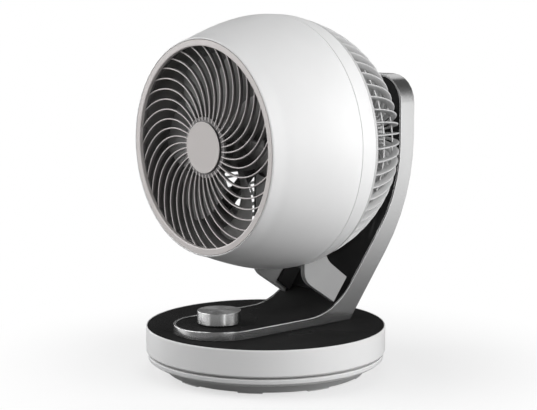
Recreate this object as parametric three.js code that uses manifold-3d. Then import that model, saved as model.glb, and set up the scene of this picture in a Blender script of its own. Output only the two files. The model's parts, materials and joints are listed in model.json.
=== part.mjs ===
import * as THREE from 'three';
import { mergeVertices } from 'three/addons/utils/BufferGeometryUtils.js';
import Module from 'manifold-3d';

// Air circulator fan: a fixed foot, a turntable with a cranked arm, a fork and a tilting head.
// Millimetres, +Z up, the fan blows towards -Y. Up to the last lines the turn axis is
// X = Y = 0 and the floor is Z = 0.

const wasm = await Module();
wasm.setup();

// ---------------------------------------------------------------- driving dimensions

const fit = 0.3; // gap between two pieces that seat on each other
const ringSides = 36; // facets round the large rings
const smallSides = 16; // facets round spindles, screws and pins
const motorSides = 24; // facets round motors and knobs
const holeSides = 12; // facets round small holes, bolts and shafts
const pillarSides = 8; // facets round the pillars under the board
const bendSteps = 6; // steps along a bend of the arm
const tipSteps = 16; // steps round the arm's half round end
const past = 6; // how far a cutter runs past the piece it cuts

// Foot: rubber pads, grey tray, white lower band, counterweight
const padCount = 9;
const padHeight = 1;
const padWidth = 24;
const padLength = 9.6;
const padInset = 0.4;
const padSteps = 3;
const footInset = 21; // the foot's underside stands in from the turning ring
const trayWall = 2.4;
const trayRise = 9.3;
const trayFlare = 9.5;
const trayLipWidth = 4.2;
const trayLipHeight = 2.1;
const trayRibHeight = 3.2;
const trayRibInset = 9;
const trayShelfDrop = 1.2;
const bossRadius = 20;
const bossHeight = 6;
const bandHeight = 5.4;
const bandFlange = 2.2;
const bandReach = 5.5;
const bandTaper = 2;
const bandEdge = 0.6;
const weightInset = 5;
const weightWidth = 32;
const weightHeight = 8;
const inletRadius = 3.4;
const inletBore = 2.2;
const inletLength = 14;
const inletHeight = 6.6;

// Swing drive: spindle, fixed gear, pinion, motor
const spindleRadius = 9;
const screwRadius = 3.5;
const screwHeadRadius = 8;
const screwHeadHeight = 3;
const washerGap = 0.8;
const washerThickness = 2;
const toothModule = 1.6;
const sunTeeth = 30;
const pinionTeeth = 10;
const gearHeight = 6;
const pinionLift = 0.5;
const backlash = 0.5;
const toothDedendum = 1.25; // in modules
const toothTipShare = 0.5; // of the tooth's width on the pitch circle
const toothRootShare = 1.35;
const pinionShaftRadius = 2.5;
const pinionShaftGrip = 4.5;
const thrustWidth = 5;
const thrustThickness = 1.4;
const thrustInset = 6.7;
const swingMotorRadius = 17;
const swingMotorHeight = 13.5;
const swingMotorEdge = 1;

// Turntable: white ring, carrier plate, black top plate, electrics
const ringRadius = 120;
const ringHeight = 26.6;
const ringWall = 2.6;
const ringChamfer = 1.7;
const ringLip = 2;
const rimLine = 1.2;
const carrierThickness = 2.5;
const carrierHubWall = 5.7;
const carrierHubHeight = 4.8;
const topPlateThickness = 3;
const boltRadius = 2.7;
const boltHeadRadius = 5;
const boltHeadHeight = 3;
const boltLength = 7.5;
const boltSpread = 28;
const boltFrontY = -15;
const boltRearY = 16;
const boardWidth = 50;
const boardLength = 70;
const boardThickness = 1.6;
const boardX = 50;
const pillarRadius = 2.5;
const pillarHeight = 5.7;
const pillarInset = 5;
const capacitorWidth = 44;
const capacitorDepth = 18;
const capacitorHeight = 16;
const capacitorX = -52;
const capacitorY = -50;

// Knob and its switch
const knobReach = 60.6;
const knobRadius = 21.3;
const knobHeight = 12.25;
const knobLift = 0.95;
const knobChamfer = 0.8;
const knobSkin = 2.7;
const knobShaftRadius = 3;
const switchSize = 26;
const switchHeight = 12.3;
const switchGrip = 7.7;

// Arm: foot, leaning part and upright
const armHalfWidth = 44.8;
const footTop = 8.8; // above the rim
const footCornerY = 53.6;
const armLean = THREE.MathUtils.degToRad(51.9);
const uprightGap = 14.7; // between the rear hub of the head and the upright
const uprightDepth = 20;
const leanDepth = 22;
const armAboveAxis = 63.1; // the arm's top above the fan axis
const lowFillet = 72;
const highFillet = 135;
const rearFillet = 190;
const armCornerRadius = 30;
const frameWall = 2.4;
const panelRecess = 0.6;
const panelThickness = 2.6;
const spineThickness = 5;
const heelHalfWidth = 38;
const heelFrontY = 36;
const heelHeight = 50;

// Fork: two plates with cover plates, on a block that is bolted to the leaning part
const forkGap = 3.35; // between the rear band's flange and the fork
const forkDepth = 29.4;
const forkThickness = 2.6;
const coverThickness = 2.4;
const coverGroove = 0.5;
const forkBendZ = 56;
const forkHeelY = 26;
const forkHeelZ = 39.7;
const forkSoleStart = 10.6;
const forkSoleEnd = 40.4;
const forkSoleLift = 4.3;
const forkBackY = 54.5;
const forkBackZ = 58.6;
const forkStrutZ = 74;
const forkFrontBend = 0.65; // how far the bend's control point lies above its lower end, per side step
const forkBackBend = 0.74;
const coverTop = 82;
const plinthStart = 20;
const plinthEnd = 40;
const plinthHeight = 4;
const earThickness = 3.5;
const earStart = 14;
const earEnd = 36;
const earHeight = 22;

// Head: all lengths along Y from the turn axis, radii from the fan axis
const headRadius = 126.1;
const headClearance = 56.3; // between the rim and the head
const shellFrontY = -82.6;
const shellTaper = 21.5;
const shellCurveY = -58;
const shellBulge = 7.4;
const shellWidestY = 2;
const shellLeadY = -28;
const shellSteps = 6;
const seamY = 10.4;
const seamDrop = 0.3;
const seamGap = 0.5;
const shellWall = 2.5;
const shellLipWall = 1.4;
const shellLipDepth = 8.6;
const shellRearY = 31;
const shellRearDrop = 3.7;
const rearBandMidY = 24;
const rearBandMidDrop = 1.1;
const rearBandBulge = 0.6;
const rearBandBulgeY = 1.2;
const rearFlangeThickness = 2.5;
const rearFlangeReach = 13.1;
const bezelWidth = 6;
const bezelDepth = 4.1;
const bezelEdge = 0.6;
const grilleDepth = 3.8;
const grilleRibs = 36;
const ribWidth = 1.4;
const grilleRebate = 1.1; // the bezel overlaps the grille's outer ring by this
const hubDiscLap = 0.9; // the disc overlaps the grille's hub ring by this
const grilleHubBore = 18;
const ribSteps = 4;
const ribTurnStart = -2.7; // degrees at the inner reference radius
const ribTurnRadius = 37;
const ribTurnRate = 0.29; // degrees per millimetre
const ribTurnGrowth = 0.0046; // degrees per square millimetre
const hubDiscRadius = 24.7;
const hubDiscThickness = 1.2;
const hubDiscEdge = 0.6;
const ductWall = 1.6;
const ductFlangeStep = 4;
const ductFlange = 2.5;
const mountRingWidth = 11;
const mountRingDepth = 6;
const mountArmWidth = 12;
const mountArmBite = 2;
const mountCupWall = 4.7;
const mountCupFront = 2;
const mountCupRear = 15;
const motorRadius = 31;
const motorFront = -4;
const motorRear = 60;
const motorBossRadius = 10;
const motorBossLength = 8;
const motorCapRadius = 28;
const motorCapDepth = 10;
const motorCapTaper = 4;
const motorShaftRadius = 4;
const motorShaftFront = -66;
const motorShaftRear = 18;

// Tilt joint
const trunnionWall = 1.6;
const pinRadius = 5;
const pinTailRadius = 4;
const pinHeadRadius = 8;
const pinHeadDepth = 2.6;
const frictionRadius = 10;
const frictionThickness = 0.5;
const tiltRange = THREE.MathUtils.degToRad(40);
const slotClearance = 0.8;
const slotSide = 0.7;
const slotRail = 1.6;
const slotDepth = 55.3; // from the dome's surface inwards
const slotOverrun = 23.9; // past the head's widest place

// Rear grille: fins on an ellipsoid
const domeCentreY = 6;
const domeLength = 130.4;
const domeSwell = 2.9; // the dome is wider than the rear band's end
const finCount = 60;
const finThickness = 1.5;
const finDepth = 7;
const finSteps = 3;
const finFlangeWidth = 8;
const finFlangeDepth = 3.2;
const rearHubRadius = 36;
const rearHubDepth = 8.6;
const rearHubCrown = 0.4;
const finHubBite = 1;
const hoopWidth = 2.4;
const hoopBite = 0.8;
const outerHoopAngle = 24.5;
const innerHoopAngle = 46;

// Impeller
const impellerHubRadius = 26;
const impellerFront = -60;
const impellerRear = -24;
const impellerWall = 2.6;
const impellerNose = 6;
const impellerSleeve = 3.7;
const impellerSleeveLength = 26;
const bladeCount = 7;
const bladeTipGap = 4.2;
const bladeThickness = 2.4;
const bladeMiddle = 0.65; // half thickness at mid chord, per thickness
const bladeTaper = 0.5;
const bladeCamber = 0.5; // per rise
const bladeRootBite = 1.2;
const bladeRootChord = 26;
const bladeTipChord = 62;
const bladeRootRise = 24;
const bladeTipRise = 17;
const bladeSweep = 26;
const bladeSteps = 3;
const chordSteps = 2;
const nutRadius = 9;
const nutDepth = 8;
const nutEdge = 1;

// ---------------------------------------------------------------- places that follow

const footRadius = ringRadius - footInset;
const weightOuter = footRadius - weightInset;
const weightInner = weightOuter - weightWidth;
const trayBottom = padHeight + fit;
const trayFloorTop = trayBottom + trayWall;
const flareTop = trayBottom + trayRise;
const lipRadius = footRadius + trayFlare + trayLipWidth;
const lipTop = flareTop + trayLipHeight;
const trayRibOuter = lipRadius - trayRibInset;
const trayRibInner = trayRibOuter - trayWall;
const bandBottom = lipTop + fit;
const bandTop = bandBottom + bandHeight;
const thrustInner = lipRadius - thrustInset;
const thrustBottom = bandTop + fit;
const ringBottom = thrustBottom + thrustThickness + fit;
const rim = ringBottom + ringHeight;
const carrierBottom = ringBottom + ringLip + fit;
const carrierTop = carrierBottom + carrierThickness;
const hubTop = carrierTop + carrierHubHeight;
const spindleBottom = trayFloorTop + bossHeight + fit;
const washerBottom = hubTop + fit;
const screwHeadBottom = washerBottom + washerThickness + fit;
const topPlateBottom = rim - topPlateThickness;
const sunRadius = (sunTeeth * toothModule) / 2;
const pinionRadius = (pinionTeeth * toothModule) / 2;
const pinionX = -(sunRadius + pinionRadius);
const washerRadius = -pinionX - swingMotorRadius - washerGap;
const pinionBottom = spindleBottom + pinionLift;
const pinionShaftTop = carrierTop + fit + pinionShaftGrip;

const axisZ = rim + headRadius + headClearance;
const shellFrontRadius = headRadius - shellTaper;
const shellCurveRadius = shellFrontRadius + shellBulge;
const shellRearRadius = headRadius - shellRearDrop;
const domeRadius = shellRearRadius + domeSwell;
const hubAngle = Math.acos(rearHubRadius / domeRadius);
const hubRearY = domeCentreY + domeLength * Math.sin(hubAngle) + rearHubCrown;

const armFloor = rim + fit;
const footTopZ = rim + footTop;
const armTopZ = axisZ + armAboveAxis;
const uprightFrontY = hubRearY + uprightGap;
const uprightRearY = uprightFrontY + uprightDepth;
const spineFront = panelRecess + panelThickness + fit;
const spineRear = spineFront + spineThickness;
const knobBottom = footTopZ + knobLift;
const knobTop = knobBottom + knobHeight;
const knobShaftTop = knobTop - knobSkin - fit;
const knobShaftBottom = topPlateBottom - switchGrip;

const bandFrontY = seamY + seamGap / 2;
const forkFrontY = bandFrontY + rearFlangeThickness + forkGap;
const pivotY = forkFrontY + forkDepth / 2;
const trunnionInnerX = motorRadius + fit;
const trunnionOuterX = trunnionInnerX + trunnionWall;
const pinShoulderX = trunnionOuterX + fit;
const forkInnerX = pinShoulderX + frictionThickness + fit;
const forkOuterX = forkInnerX + forkThickness;
const plinthHalfWidth = forkInnerX - fit;
const coverInnerX = forkOuterX + coverGroove;
const coverOuterX = coverInnerX + coverThickness;
const bezelFrontY = shellFrontY;
const grilleFrontY = bezelFrontY + bezelDepth;
const grilleRearY = grilleFrontY + grilleDepth;
const shellMouth = shellFrontRadius - shellLipWall;
const bezelOuter = shellMouth - fit;
const bezelInner = bezelOuter - bezelWidth;
const grilleOpening = bezelInner + grilleRebate;
const grilleHubRadius = hubDiscRadius - hubDiscLap;
const ductRadius = bezelInner + fit;
const ductFrontY = grilleRearY + fit;
const mountRingRear = bandFrontY - fit;
const mountRingFront = mountRingRear - mountRingDepth;
const ductRearY = mountRingFront - fit;
const mountRingOuter = headRadius - shellWall - fit * 2;
const mountRingInner = mountRingOuter - mountRingWidth;
const ductFlangeRadius = mountRingOuter - ductFlangeStep;
const rearFlangeInner = headRadius - rearFlangeReach;
const finFlangeInner = shellRearRadius - finFlangeWidth;
const slotNear = domeRadius - slotDepth;
const slotFar = headRadius + slotOverrun;

// ---------------------------------------------------------------- solids

function solidOf(geometry) {
  const bare = geometry.clone();
  bare.deleteAttribute('normal');
  bare.deleteAttribute('uv');
  const merged = mergeVertices(bare, 1e-4);
  const corners = [];
  const index = merged.index.array;
  for (let i = 0; i < index.length; i += 3) {
    const [a, b, c] = [index[i], index[i + 1], index[i + 2]];
    if (a !== b && b !== c && c !== a) corners.push(a, b, c);
  }
  return new wasm.Manifold(new wasm.Mesh({
    numProp: 3,
    vertProperties: new Float32Array(merged.attributes.position.array),
    triVerts: new Uint32Array(corners),
  }));
}

function geometryOf(solid) {
  const mesh = solid.getMesh();
  const geometry = new THREE.BufferGeometry();
  geometry.setAttribute('position', new THREE.BufferAttribute(mesh.vertProperties, 3));
  geometry.setIndex(new THREE.BufferAttribute(mesh.triVerts, 1));
  geometry.computeVertexNormals();
  return geometry;
}

function join(...geometries) {
  return geometryOf(wasm.Manifold.union(geometries.map(solidOf)));
}

function cut(geometry, ...cutters) {
  const taken = wasm.Manifold.union(cutters.map(solidOf));
  return geometryOf(solidOf(geometry).subtract(taken));
}

function meet(geometry, ...others) {
  return geometryOf(others.reduce((solid, other) => solid.intersect(solidOf(other)), solidOf(geometry)));
}

// A profile of [radius, height] corners, turned about Y. It closes on itself or on the axis.
function turnedY(profile, sides = ringSides) {
  const corners = profile.map(([radius, height]) => new THREE.Vector2(radius, height));
  if (THREE.ShapeUtils.isClockWise(corners)) corners.reverse();
  const onAxis = corners[0].x === 0 && corners.at(-1).x === 0;
  if (!onAxis) corners.push(corners[0].clone());
  return new THREE.LatheGeometry(corners, sides);
}

function turnedZ(profile, sides = ringSides) {
  return turnedY(profile, sides).rotateX(Math.PI / 2);
}

function turnedX(profile, sides = smallSides) {
  return turnedY(profile, sides).rotateZ(-Math.PI / 2);
}

function rodZ(radius, bottom, top, x = 0, y = 0, sides = smallSides) {
  return turnedZ([[0, bottom], [radius, bottom], [radius, top], [0, top]], sides).translate(x, y, 0);
}

function rodX(radius, start, end, y, z, sides = smallSides) {
  return turnedX([[0, start], [radius, start], [radius, end], [0, end]], sides).translate(0, y, z);
}

function extruded(shape, depth, curveSegments = 6) {
  return new THREE.ExtrudeGeometry(shape, { depth, bevelEnabled: false, curveSegments });
}

function slabZ(shape, bottom, top) {
  return extruded(shape, top - bottom).translate(0, 0, bottom);
}

// A shape drawn in Y and Z, extruded along X between two places in either order.
function slabX(shape, xa, xb) {
  const start = Math.min(xa, xb);
  const upright = new THREE.Matrix4().set(0, 0, 1, start, 1, 0, 0, 0, 0, 1, 0, 0, 0, 0, 0, 1);
  return extruded(shape, Math.abs(xb - xa)).applyMatrix4(upright);
}

// A shape drawn in X and Z, extruded along Y.
function slabY(shape, front, rear) {
  return extruded(shape, rear - front).rotateX(Math.PI / 2).translate(0, rear, 0);
}

function block(xa, xb, ya, yb, za, zb) {
  const box = new THREE.BoxGeometry(Math.abs(xb - xa), Math.abs(yb - ya), Math.abs(zb - za));
  return box.translate((xa + xb) / 2, (ya + yb) / 2, (za + zb) / 2);
}

function arcPoints(centreX, centreY, radius, from, to, steps) {
  const points = [];
  for (let i = 0; i <= steps; i += 1) {
    const angle = from + ((to - from) * i) / steps;
    points.push(new THREE.Vector2(centreX + radius * Math.cos(angle), centreY + radius * Math.sin(angle)));
  }
  return points;
}

function polarPoint(radius, angle) {
  return new THREE.Vector2(radius * Math.cos(angle), radius * Math.sin(angle));
}

function circlePoints(radius, sides) {
  return arcPoints(0, 0, radius, 0, 2 * Math.PI, sides).slice(0, sides);
}

// ---------------------------------------------------------------- materials

function finish(color, roughness, metalness) {
  return new THREE.MeshStandardMaterial({ color, roughness, metalness });
}

const whitePlastic = finish('#eeedea', 0.35, 0);
const greyPlastic = finish('#848484', 0.6, 0);
const paleGreyPlastic = finish('#b9b9b7', 0.45, 0);
const silverPaint = finish('#c8c3c0', 0.4, 0.5);
const brushedSilver = finish('#c4c4c6', 0.35, 0.9);
const glossBlack = finish('#141414', 0.12, 0);
const darkPlastic = finish('#373434', 0.5, 0);
const rubber = finish('#1c1c1c', 0.9, 0);
const castIron = finish('#4c4c4e', 0.7, 0.6);
const steel = finish('#a9abae', 0.4, 0.9);
const boardGreen = finish('#2f6a3c', 0.5, 0);
const gearPlastic = finish('#e6e2d3', 0.5, 0);

// ---------------------------------------------------------------- foot

function footTray() {
  const flareRadius = footRadius + trayFlare;
  const tray = turnedZ([
    [0, trayBottom], [footRadius, trayBottom], [flareRadius, flareTop],
    [lipRadius, flareTop], [lipRadius, lipTop], [trayRibOuter, lipTop],
    [trayRibOuter, lipTop + trayRibHeight], [trayRibInner, lipTop + trayRibHeight],
    [trayRibInner, flareTop - trayShelfDrop], [footRadius - trayWall, trayFloorTop],
    [bossRadius, trayFloorTop], [bossRadius, trayFloorTop + bossHeight],
    [0, trayFloorTop + bossHeight],
  ]);
  return cut(tray, inletRod(inletRadius + fit, past));
}

function inletRod(radius, extra) {
  const rear = lipRadius - trayLipWidth;
  const front = rear - inletLength;
  const profile = [[0, front - extra], [radius, front - extra], [radius, rear + extra], [0, rear + extra]];
  return turnedY(profile, holeSides).translate(0, 0, inletHeight);
}

function cordInlet() {
  return cut(inletRod(inletRadius, 0), inletRod(inletBore, past));
}

function lowerBand() {
  const inner = lipRadius + fit;
  const outer = inner + bandReach;
  const flangeInner = trayRibInner + fit;
  const flangeBottom = lipTop + trayRibHeight + fit;
  return turnedZ([
    [inner, bandBottom], [outer - bandTaper, bandBottom], [outer - bandEdge, bandBottom + bandEdge * 2],
    [outer, bandTop - bandEdge], [outer - bandEdge, bandTop], [flangeInner, bandTop],
    [flangeInner, flangeBottom], [inner, bandTop - bandFlange],
  ]);
}

function counterweight() {
  const bottom = trayFloorTop + fit;
  const top = bottom + weightHeight;
  return turnedZ([[weightInner, bottom], [weightOuter, bottom], [weightOuter, top], [weightInner, top]],
    motorSides);
}

function footPad(turn) {
  const outer = footRadius - padInset;
  const inner = outer - padLength;
  const half = padWidth / 2 / outer;
  const outline = [
    ...arcPoints(0, 0, outer, -half, half, padSteps),
    ...arcPoints(0, 0, inner, half, -half, padSteps),
  ];
  return slabZ(new THREE.Shape(outline), 0, padHeight).rotateZ(turn - Math.PI / 2);
}

// ---------------------------------------------------------------- swing drive

function spindle() {
  const bore = screwRadius + fit;
  const boreBottom = spindleBottom + bossHeight;
  return turnedZ([
    [0, spindleBottom], [spindleRadius, spindleBottom], [spindleRadius, hubTop],
    [bore, hubTop], [bore, boreBottom], [0, boreBottom],
  ], smallSides);
}

// Straight-flanked teeth; turn is the angle of the first tooth's middle.
function gearOutline(teeth, turn) {
  const pitchRadius = (teeth * toothModule) / 2;
  const tip = pitchRadius + toothModule;
  const root = pitchRadius - toothModule * toothDedendum;
  const halfPitch = (Math.PI * toothModule) / 4 - backlash / 2;
  const tipHalf = (halfPitch * toothTipShare) / tip;
  const rootHalf = (halfPitch * toothRootShare) / root;
  const outline = [];
  for (let tooth = 0; tooth < teeth; tooth += 1) {
    const middle = turn + (tooth * 2 * Math.PI) / teeth;
    outline.push(
      polarPoint(root, middle - rootHalf),
      polarPoint(tip, middle - tipHalf),
      polarPoint(tip, middle + tipHalf),
      polarPoint(root, middle + rootHalf),
    );
  }
  return outline;
}

function sunGear() {
  const shape = new THREE.Shape(gearOutline(sunTeeth, Math.PI));
  shape.holes.push(new THREE.Path(circlePoints(spindleRadius + fit, smallSides)));
  return slabZ(shape, spindleBottom, spindleBottom + gearHeight);
}

function swingPinion() {
  const halfTooth = Math.PI / pinionTeeth;
  const teeth = slabZ(new THREE.Shape(gearOutline(pinionTeeth, halfTooth)),
    pinionBottom, spindleBottom + gearHeight);
  const shaft = rodZ(pinionShaftRadius, pinionBottom, pinionShaftTop, 0, 0, holeSides);
  return join(teeth, shaft).translate(pinionX, 0, 0);
}

function retainingWasher() {
  const bore = screwRadius + fit;
  const top = washerBottom + washerThickness;
  return turnedZ([[bore, washerBottom], [washerRadius, washerBottom], [washerRadius, top], [bore, top]],
    smallSides);
}

function spindleScrew() {
  const bottom = spindleBottom + bossHeight + fit;
  const headTop = screwHeadBottom + screwHeadHeight;
  return turnedZ([
    [0, bottom], [screwRadius, bottom], [screwRadius, screwHeadBottom],
    [screwHeadRadius, screwHeadBottom], [screwHeadRadius, headTop], [0, headTop],
  ], smallSides);
}

function thrustRing() {
  const outer = thrustInner + thrustWidth;
  const top = thrustBottom + thrustThickness;
  return turnedZ([[thrustInner, thrustBottom], [outer, thrustBottom], [outer, top], [thrustInner, top]]);
}

function swingMotor() {
  const bottom = carrierTop + fit;
  const top = bottom + swingMotorHeight;
  const bore = pinionShaftRadius + fit;
  return turnedZ([
    [0, pinionShaftTop + fit], [bore, pinionShaftTop + fit], [bore, bottom],
    [swingMotorRadius, bottom], [swingMotorRadius, top - swingMotorEdge],
    [swingMotorRadius - swingMotorEdge, top], [0, top],
  ], smallSides).translate(pinionX, 0, 0);
}

// ---------------------------------------------------------------- turntable

function baseRing() {
  const inner = ringRadius - ringWall;
  const ledge = topPlateBottom - fit;
  const lipInner = thrustInner + thrustWidth + fit;
  return turnedZ([
    [lipInner, ringBottom], [ringRadius - ringChamfer, ringBottom], [ringRadius, ringBottom + ringChamfer],
    [ringRadius, rim], [ringRadius - rimLine, rim], [ringRadius - rimLine, ledge], [inner, ledge],
    [inner, ringBottom + ringLip], [lipInner, ringBottom + ringLip],
  ]);
}

function boltPlaces() {
  return [boltFrontY, boltRearY].flatMap((y) => [[-boltSpread, y], [boltSpread, y]]);
}

function boltHoles(bottom, top) {
  return boltPlaces().map(([x, y]) => rodZ(boltRadius + fit, bottom, top, x, y, holeSides));
}

function knobHole(bottom, top) {
  return rodZ(knobShaftRadius + fit, bottom, top, 0, -knobReach, holeSides);
}

function topPlate() {
  const radius = ringRadius - rimLine - fit;
  const disc = turnedZ([[0, topPlateBottom], [radius, topPlateBottom], [radius, rim], [0, rim]]);
  const [low, high] = [topPlateBottom - past, rim + past];
  return cut(disc, knobHole(low, high), ...boltHoles(low, high));
}

function boardPillars() {
  const halfX = boardWidth / 2 - pillarInset;
  const halfY = boardLength / 2 - pillarInset;
  const corners = [[-halfX, -halfY], [halfX, -halfY], [-halfX, halfY], [halfX, halfY]];
  return corners.map(([x, y]) => rodZ(pillarRadius, carrierBottom + fit, carrierTop + pillarHeight,
    boardX + x, y, pillarSides));
}

function carrierPlate() {
  const bore = spindleRadius + fit;
  const hub = bore + carrierHubWall;
  const outer = ringRadius - ringWall - fit;
  const thrustOuter = thrustInner + thrustWidth;
  const plate = turnedZ([
    [bore, ringBottom], [hub, ringBottom], [hub, carrierBottom], [thrustInner, carrierBottom],
    [thrustInner, ringBottom], [thrustOuter, ringBottom], [thrustOuter, carrierBottom],
    [outer, carrierBottom], [outer, carrierTop], [hub, carrierTop], [hub, hubTop], [bore, hubTop],
  ]);
  const shaftHole = rodZ(pinionShaftRadius + fit, ringBottom - past, hubTop, pinionX, 0, holeSides);
  return cut(join(plate, ...boardPillars()), shaftHole);
}

function controlBoard() {
  const bottom = carrierTop + pillarHeight + fit;
  return block(boardX - boardWidth / 2, boardX + boardWidth / 2, -boardLength / 2, boardLength / 2,
    bottom, bottom + boardThickness);
}

function motorCapacitor() {
  const bottom = carrierTop + fit;
  return block(capacitorX - capacitorWidth / 2, capacitorX + capacitorWidth / 2,
    capacitorY - capacitorDepth / 2, capacitorY + capacitorDepth / 2, bottom, bottom + capacitorHeight);
}

function armBolt(x, y) {
  const headTop = topPlateBottom - fit;
  const head = headTop - boltHeadHeight;
  return turnedZ([
    [0, head], [boltHeadRadius, head], [boltHeadRadius, headTop], [boltRadius, headTop],
    [boltRadius, headTop + boltLength], [0, headTop + boltLength],
  ], holeSides).translate(x, y, 0);
}

// ---------------------------------------------------------------- knob and switch

function switchBody() {
  const top = topPlateBottom - fit;
  const half = switchSize / 2;
  const body = block(-half, half, -knobReach - half, -knobReach + half, top - switchHeight, top);
  return cut(body, knobHole(knobShaftBottom - fit, top + past));
}

function knobShaft() {
  return rodZ(knobShaftRadius, knobShaftBottom, knobShaftTop, 0, -knobReach, holeSides);
}

function knob() {
  const bore = knobShaftRadius + fit;
  const rounded = knobRadius - knobChamfer;
  return turnedZ([
    [0, knobShaftTop + fit], [bore, knobShaftTop + fit], [bore, knobBottom], [knobRadius, knobBottom],
    [knobRadius, knobTop - knobChamfer], [rounded, knobTop], [0, knobTop],
  ], motorSides).translate(0, -knobReach, 0);
}

// ---------------------------------------------------------------- arm

// The arm's side view in Y and Z, with each face moved inwards by its own inset.
function armSection(front, rear, bottom, top) {
  const arcStart = -Math.PI / 2;
  const arcLean = arcStart + armLean;
  const lowY = footCornerY - lowFillet * Math.tan(armLean / 2);
  const kneeZ = footTopZ + (uprightFrontY - footCornerY) * Math.tan(armLean);
  const upTurn = Math.tan((Math.PI / 2 - armLean) / 2);
  const highZ = kneeZ + highFillet * upTurn;
  const leanLine = footCornerY * Math.sin(armLean) - footTopZ * Math.cos(armLean);
  const rearKneeZ = (uprightRearY * Math.sin(armLean) - leanLine - leanDepth) / Math.cos(armLean);
  const rearZ = rearKneeZ + rearFillet * upTurn;
  const floor = armFloor + bottom;
  const ceiling = armTopZ - top;
  const tipY = -knobReach - armHalfWidth - past;
  const heelY = (leanLine + leanDepth - rear + floor * Math.cos(armLean)) / Math.sin(armLean);
  return [
    new THREE.Vector2(tipY, floor),
    new THREE.Vector2(heelY, floor),
    ...arcPoints(uprightRearY - rearFillet, rearZ, rearFillet - rear, arcLean, 0, bendSteps),
    new THREE.Vector2(uprightRearY - rear, ceiling),
    new THREE.Vector2(uprightFrontY + front, ceiling),
    ...arcPoints(uprightFrontY - highFillet, highZ, highFillet + front, 0, arcLean, bendSteps),
    ...arcPoints(lowY, footTopZ + lowFillet, lowFillet + front, arcLean, arcStart, bendSteps + 2),
    new THREE.Vector2(tipY, footTopZ - front),
  ];
}

// The arm seen from above: straight sides and the half round end under the knob.
function armPlan(side) {
  const half = armHalfWidth - side;
  return [
    ...arcPoints(0, -knobReach, half, Math.PI, 2 * Math.PI, tipSteps),
    new THREE.Vector2(half, uprightRearY + past),
    new THREE.Vector2(-half, uprightRearY + past),
  ];
}

// The arm seen from the front: straight sides and two round top corners.
function armFace(side, top) {
  const half = armHalfWidth - side;
  const radius = Math.max(armCornerRadius - side, 1);
  const ceiling = armTopZ - top;
  return [
    new THREE.Vector2(-half, 0),
    new THREE.Vector2(half, 0),
    ...arcPoints(half - radius, ceiling - radius, radius, 0, Math.PI / 2, bendSteps),
    ...arcPoints(radius - half, ceiling - radius, radius, Math.PI / 2, Math.PI, bendSteps),
  ];
}

function armSolid({ front = 0, rear = 0, bottom = 0, side = 0, top = 0 }) {
  const half = armHalfWidth - side;
  const section = slabX(new THREE.Shape(armSection(front, rear, bottom, top)), -half - past, half + past);
  const plan = slabZ(new THREE.Shape(armPlan(side)), 0, armTopZ + past);
  const face = slabY(new THREE.Shape(armFace(side, top)), -knobReach - armHalfWidth - past * 2,
    uprightRearY + past);
  return meet(section, plan, face);
}

function armFrame() {
  const inside = armSolid({ front: -past, rear: -past, bottom: -past, side: frameWall, top: frameWall });
  return cut(armSolid({}), inside);
}

function armFrontPanel() {
  const inset = frameWall + fit;
  const skin = armSolid({ front: panelRecess, side: inset, top: inset });
  const behind = armSolid({ front: panelRecess + panelThickness, rear: -past, bottom: -past, top: -past });
  return cut(skin, behind, knobHole(rim, footTopZ + past));
}

function armRearPanel() {
  const inset = frameWall + fit;
  const skin = armSolid({ rear: panelRecess, side: inset, top: inset, front: spineRear, bottom: -past });
  const ahead = armSolid({ rear: panelRecess + panelThickness, front: -past, bottom: -past * 2, top: -past });
  const above = block(-armHalfWidth, armHalfWidth, heelFrontY, uprightRearY + past, armFloor, armTopZ);
  return meet(cut(skin, ahead), above);
}

function armSpine() {
  const inset = frameWall + fit;
  const skin = armSolid({ front: spineFront, side: inset, top: inset });
  const behind = armSolid({ front: spineRear, rear: -past, bottom: -past, top: -past });
  const holes = boltHoles(rim, footTopZ + past);
  return cut(skin, behind, knobHole(rim, footTopZ + past), ...holes);
}

function heelBlock() {
  const wedge = armSolid({
    front: spineRear + fit, rear: panelRecess + panelThickness + fit, bottom: -past, top: past,
  });
  const space = block(-heelHalfWidth, heelHalfWidth, heelFrontY, uprightRearY,
    armFloor, armFloor + heelHeight);
  return meet(wedge, space);
}

// ---------------------------------------------------------------- fork

// A place given along the leaning face and away from it.
function onLean(along, away) {
  const y = footCornerY + along * Math.cos(armLean) - away * Math.sin(armLean);
  const z = footTopZ + along * Math.sin(armLean) + away * Math.cos(armLean);
  return new THREE.Vector2(y, z);
}

function forkOutline() {
  const rearY = forkFrontY + forkDepth;
  const soleStart = onLean(forkSoleStart, forkSoleLift);
  const soleEnd = onLean(forkSoleEnd, forkSoleLift);
  const frontCorner = forkHeelZ + (forkHeelY - forkFrontY) * forkFrontBend;
  const rearCorner = forkBackZ + (forkBackY - rearY) * forkBackBend;
  const shape = new THREE.Shape();
  shape.moveTo(forkFrontY, axisZ);
  shape.lineTo(forkFrontY, rim + forkBendZ);
  shape.quadraticCurveTo(forkFrontY, rim + frontCorner, forkHeelY, rim + forkHeelZ);
  shape.lineTo(soleStart.x, soleStart.y);
  shape.lineTo(soleEnd.x, soleEnd.y);
  shape.lineTo(forkBackY, rim + forkBackZ);
  shape.quadraticCurveTo(rearY, rim + rearCorner, rearY, rim + forkStrutZ);
  shape.lineTo(rearY, axisZ);
  shape.absarc(pivotY, axisZ, forkDepth / 2, 0, Math.PI, false);
  return shape;
}

function forkPlate(side) {
  const plate = slabX(forkOutline(), side * forkInnerX, side * forkOuterX);
  const reach = [side * (forkInnerX - past), side * (forkOuterX + past)];
  return cut(plate, rodX(pinRadius + fit, Math.min(...reach), Math.max(...reach), pivotY, axisZ));
}

function forkCover(side) {
  const plate = slabX(forkOutline(), side * coverInnerX, side * coverOuterX);
  const below = block(-armHalfWidth, armHalfWidth, 0, uprightFrontY, rim, rim + coverTop);
  return meet(plate, below);
}

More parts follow.
